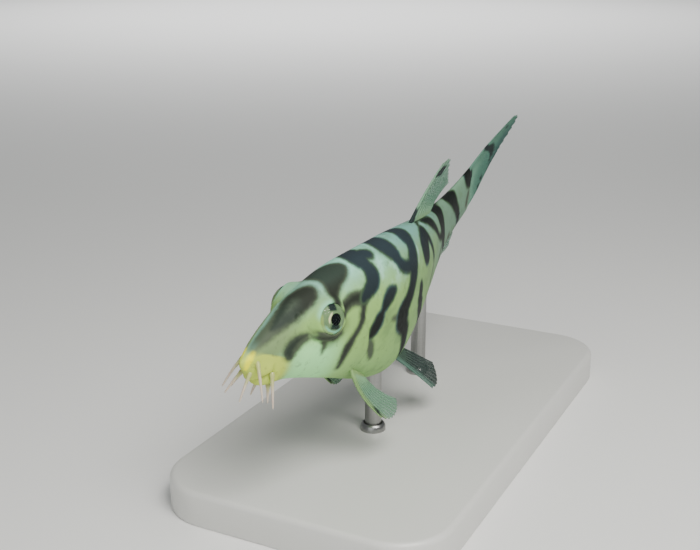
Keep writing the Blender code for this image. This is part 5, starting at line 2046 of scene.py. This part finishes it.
@dataclass
class Stand:
    """The flat base and the two rods that hold the fish."""

    length: float = 80 * MM
    width: float = 42 * MM
    thickness: float = 5 * MM
    corner: float = 8 * MM
    edge: float = 0.8 * MM
    rod: float = 1.25 * MM
    gap: float = 0.3 * MM
    collar: float = 1.9 * MM
    drill_depth: float = 3 * MM
    corner_points: int = 17
    turns: int = 64

    def rod_place(self, name: str) -> tuple:
        """Centre of a rod in plan, from the frame's own node."""
        low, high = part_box("stand_rod_" + name)
        return (low.x + high.x) / 2, (low.y + high.y) / 2

    def outline(self) -> list:
        """Points round the slab, with round corners.

        Returns:
            The points.
        """
        points = []
        for quarter, (sx, sy) in enumerate(((1, 1), (-1, 1), (-1, -1), (1, -1))):
            x, y = sx * (self.length / 2 - self.corner), sy * (self.width / 2 - self.corner)
            for step in np.linspace(0.0, math.pi / 2, self.corner_points):
                angle = quarter * math.pi / 2 + step
                points.append((x + self.corner * math.cos(angle),
                               y + self.corner * math.sin(angle)))
        return points

    def build_base(self) -> None:
        """The slab with round corners, a soft top edge and two sockets."""
        shape = bmesh.new()
        bottom = [shape.verts.new((x, y, 0.0)) for x, y in self.outline()]
        face = shape.faces.new(bottom)
        lifted = bmesh.ops.extrude_face_region(shape, geom=[face])
        top = [g for g in lifted["geom"] if isinstance(g, bmesh.types.BMVert)]
        bmesh.ops.translate(shape, verts=top, vec=(0, 0, self.thickness))
        bmesh.ops.recalc_face_normals(shape, faces=shape.faces)
        rims = [e for e in shape.edges if min(v.co.z for v in e.verts) > self.thickness * 0.9]
        bmesh.ops.bevel(shape, geom=rims, offset=self.edge, segments=6, affect="EDGES", profile=0.5)
        feet = [e for e in shape.edges if max(v.co.z for v in e.verts) < self.thickness * 0.05]
        bmesh.ops.bevel(shape, geom=feet, offset=self.edge * 0.3, segments=2, affect="EDGES",
                        profile=0.5)
        mesh = bpy.data.meshes.new("stand_base_slab")
        shape.to_mesh(mesh)
        shape.free()
        slab = add_object("stand_base_blank", mesh)
        for name in ("front", "rear"):
            self.drill(slab, *self.rod_place(name))
        mesh = slab.data
        bpy.data.objects.remove(slab)
        piece = smooth_object("stand_base_slab", mesh, LacquerFinish().make(), "stand_base",
                              "stand_base")
        piece.data.set_sharp_from_angle(angle=math.radians(38.0))

    def drill(self, slab: Object, x: float, y: float) -> None:
        """Cut a socket for a rod into the slab.

        Args:
            slab: The slab.
            x: The rod's place along the slab.
            y: The rod's place across the slab.
        """
        mesh = bpy.data.meshes.new("drill")
        shape = bmesh.new()
        bmesh.ops.create_cone(shape, cap_ends=True, segments=40, radius1=self.rod + self.gap,
                              radius2=self.rod + self.gap, depth=2 * self.drill_depth,
                              matrix=Matrix.Translation((x, y, self.thickness)))
        shape.to_mesh(mesh)
        shape.free()
        drill = add_object("drill", mesh)
        modifier = slab.modifiers.new("drill", "BOOLEAN")
        modifier.operation = "DIFFERENCE"
        modifier.object = drill
        slab.data = settled_mesh(slab)
        bpy.data.objects.remove(drill)

    def build_collar(self, name: str, material: Material) -> None:
        """A low steel ring round the foot of a rod.

        Args:
            name: Which rod.
            material: Its finish.
        """
        x, y = self.rod_place(name)
        inner, outer = self.rod + 0.05 * MM, self.collar
        profile = [(inner, -0.4), (inner, 0.95), (inner + 0.18 * MM, 1.15), (outer - 0.3 * MM, 1.1),
                   (outer - 0.08 * MM, 0.8), (outer, 0.3), (outer, 0.0), (inner + 0.24 * MM, -0.02),
                   (inner + 0.2 * MM, -0.4)]
        turn = np.linspace(0.0, 2 * np.pi, self.turns, endpoint=False)
        points = [(x + r * math.cos(t), y + r * math.sin(t), self.thickness + z * MM)
                  for r, z in profile for t in turn]
        faces = ring_faces(len(profile), self.turns, closed=True)
        mesh = grid_mesh("stand_collar_" + name, np.array(points), faces, {})
        face_out(mesh)
        piece = smooth_object("stand_collar_" + name, mesh, material, "stand_rods")
        piece.data.set_sharp_from_angle(angle=math.radians(50.0))

    def build(self) -> None:
        """The base, the collars and a steel finish on the frame's own rods."""
        self.build_base()
        steel = SteelFinish().make()
        for name in ("front", "rear"):
            self.build_collar(name, steel)
            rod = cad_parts["stand_rod_" + name]
            rod.data.materials.clear()
            rod.data.materials.append(steel)


@dataclass
class Studio:
    """The floor, the lights and the camera."""

    camera_place: tuple = (-146.07 * MM, -64.20 * MM, 77.76 * MM)
    look: tuple = (0.84779, 0.43101, -0.30902)
    focal_pixels: float = 1092.0
    image_width: float = 700.0
    sensor: float = 36.0
    clip: tuple = (0.005, 20.0)
    floor_reach: float = 4.0
    floor_colours: tuple = ((0.80, 0.80, 0.79), (0.82, 0.82, 0.81))
    air: tuple = (0.80, 0.84, 0.85, 1.0)
    air_strength: float = 0.24

    def build_floor(self) -> None:
        """A large plain pale floor."""
        mesh = bpy.data.meshes.new("studio_floor")
        reach = self.floor_reach
        mesh.from_pydata([(-reach, -reach, 0), (reach, -reach, 0), (reach, reach, 0),
                          (-reach, reach, 0)], [], [(0, 1, 2, 3)])
        floor = add_object("studio_floor", mesh)
        paint = Paint("floor_paint", Specular_IOR_Level=0.3)
        cloud = paint.noise(4.0, 2.0, 0.5)
        mesh.materials.append(paint.dress(Base_Color=paint.mix(cloud, *self.floor_colours),
                                          Roughness=0.6 + cloud * 0.1))
        floor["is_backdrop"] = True

    def area_light(self, name: str, place: tuple, size: float, power: float, tint: tuple,
                   aim: tuple = (0.0, 0.0, 0.03), spread: float = 180.0) -> None:
        """A soft light.

        Args:
            name: The light's name.
            place: Where it hangs.
            size: Its width.
            power: Its power in watts.
            tint: Its colour.
            aim: The point that it is aimed at.
            spread: The angle of its cone in degrees.
        """
        light = bpy.data.lights.new(name, "AREA")
        light.size, light.energy, light.color = size, power, tint
        light.spread = math.radians(spread)
        lamp = add_object(name, light)
        lamp.location = place
        lamp.rotation_euler = (Vector(aim) - Vector(place)).to_track_quat("-Z", "Y").to_euler()

    def build_lights(self) -> None:
        """A soft key light on the left, a weak fill in front and a light on the floor behind."""
        self.area_light("key_light", (-0.10, -0.12, 0.215), 0.15, 0.95, (1.0, 0.985, 0.94),
                        aim=(-0.03, 0.0, 0.03))
        self.area_light("fill_light", (-0.50, -0.05, 0.18), 0.4, 0.5, (0.97, 1.0, 0.98))
        self.area_light("floor_light", (0.70, 0.42, 0.50), 0.7, 4.0, (1.0, 1.0, 1.0),
                        aim=(0.75, 0.40, 0.0), spread=110.0)
        world = bpy.data.worlds.new("studio_air")
        world.use_nodes = True
        sky = world.node_tree.nodes["Background"]
        sky.inputs["Color"].default_value = self.air
        sky.inputs["Strength"].default_value = self.air_strength
        bpy.context.scene.world = world

    def build_camera(self) -> None:
        """The camera at the photograph's viewing angle."""
        data = bpy.data.cameras.new("camera")
        data.sensor_width = self.sensor
        data.lens = self.focal_pixels / self.image_width * self.sensor
        data.clip_start, data.clip_end = self.clip
        camera = add_object("camera", data)
        camera.location = self.camera_place
        camera.rotation_euler = Vector(self.look).to_track_quat("-Z", "Y").to_euler()
        bpy.context.scene.camera = camera

    def build(self) -> None:
        """Everything round the object."""
        self.build_floor()
        self.build_lights()
        self.build_camera()


@dataclass
class Loach:
    """The whole fish."""

    form: BodyForm

    def median_fins(self) -> tuple:
        """The fins of the back, the belly and the tail.

        Returns:
            The fins.
        """
        dorsal = MedianFin(
            "dorsal_fin", self.form, (0.0, 0.12, 0.5, 1.0), (11.9, 13.0, 10.8, 7.7), 9,
            spots=(Spot(0.02, 0.1, 0.9, 1.6), Spot(0.12, 0.79, 1.5, 1.2), Spot(0.19, 0.8, 1.5, 1.2),
                   Spot(0.26, 0.81, 1.5, 1.1)),
            start=38 * MM, end=51 * MM, leans=(37.0, 24.0), sway=(-0.07, -0.15))
        anal = MedianFin(
            "anal_fin", self.form, (0.0, 0.15, 0.5, 1.0), (9.5, 11.0, 9.0, 6.0), 7,
            spots=(Spot(0.3, 0.5, 1.2, 0.45), Spot(0.7, 0.5, 1.0, 0.4)),
            start=59.5 * MM, end=66 * MM, leans=(17.0, 11.0), sway=(-0.06, -0.06), side_up=-1)
        tail = TailFin(
            "tail_fin", self.form, (0.0, 0.1, 0.3, 0.5, 0.7, 0.9, 1.0),
            (18.0, 19.8, 18.0, 14.6, 14.6, 16.0, 14.6), 15, root_share=0.93, hard_rays=0,
            spots=(Spot(0.3, 0.05, 2.6, 0.9), Spot(0.03, 0.41, 0.9, 0.9),
                   Spot(0.1, 0.44, 0.9, 0.9), Spot(0.17, 0.5, 0.9, 0.9),
                   Spot(0.24, 0.55, 0.9, 0.85), Spot(0.31, 0.6, 0.9, 0.8),
                   Spot(0.38, 0.65, 0.8, 0.7), Spot(0.45, 0.69, 0.8, 0.6),
                   Spot(0.1, 0.81, 0.5, 0.6), Spot(0.72, 0.5, 1.2, 0.7),
                   Spot(0.86, 0.42, 1.0, 0.7)))
        return dorsal, anal, tail

    def paired_fins(self) -> list:
        """The pectoral and pelvic fins of both sides.

        Returns:
            The fins.
        """
        fins = []
        for side in Side:
            left = side is Side.LEFT
            fins.append(PairedFin(
                "pectoral_fin_" + side.label, self.form, (0.0, 0.18, 0.6, 1.0),
                (8.4, 8.9, 8.4, 6.7), 10, side=side,
                spots=(Spot(0.13, 0.8, 0.4, 0.8), Spot(0.06, 0.93, 0.4, 0.8)),
                start=19.5 * MM, end=24.0 * MM, angles=(133.0, 150.0),
                aims=((0.2, 0.27, -0.94), (0.6, 0.25, -0.75)) if left
                else ((0.5, -0.1, -0.85), (0.74, 0.1, -0.66)),
                bend=(0.4, 0.12, 0.05) if left else (0.3, 0.05, 0.05)))
            fins.append(PairedFin(
                "pelvic_fin_" + side.label, self.form, (0.0, 0.2, 0.6, 1.0),
                (10.2, 10.9, 10.4, 8.8), 8, side=side,
                start=34.2 * MM, end=37.8 * MM, angles=(149.0, 162.0),
                aims=((0.66, 0.46, -0.59), (0.74, 0.52, -0.43)), bend=(0.01, -0.02, -0.04)))
        return fins

    def build(self) -> None:
        """Skin, eyes, feelers and fins."""
        Skin(self.form).build()
        Eyes(self.form).build()
        Feelers(self.form).build()
        dorsal, anal, tail = self.median_fins()
        dorsal.build(FinFinish(dorsal.name))
        anal.build(FinFinish(anal.name))
        tail.build(FinFinish(tail.name, web=(0.085, 0.205, 0.155), ray=(0.095, 0.21, 0.16),
                             front=(0.10, 0.22, 0.16), root=(0.21, 0.42, 0.285),
                             tip=(0.05, 0.11, 0.10), alpha=0.84))
        for fin in self.paired_fins():
            if fin.name.startswith("pelvic"):
                fin.build(FinFinish(fin.name, web=(0.036, 0.054, 0.050), ray=(0.054, 0.079, 0.068),
                                    front=(0.10, 0.19, 0.15), root=(0.07, 0.125, 0.085),
                                    tip=(0.036, 0.054, 0.050), alpha=0.68))
            else:
                fin.build(FinFinish(fin.name, web=(0.15, 0.31, 0.21), ray=(0.21, 0.40, 0.245),
                                    front=(0.26, 0.42, 0.15), root=(0.28, 0.44, 0.16),
                                    tip=(0.15, 0.31, 0.21), alpha=0.42))


def corners() -> list:
    """The shown object's box as plain lists."""
    low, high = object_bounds()
    return [list(low), list(high)]


def main() -> None:
    """Build the studio, the stand and the fish."""
    logging.basicConfig(level=logging.INFO, format="%(message)s")
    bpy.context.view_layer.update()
    Studio().build()
    LOG.info("studio")
    Stand().build()
    form = BodyForm(Backbone(), Eyeball())
    Loach(form).build()


if __name__ == "__main__":
    main()
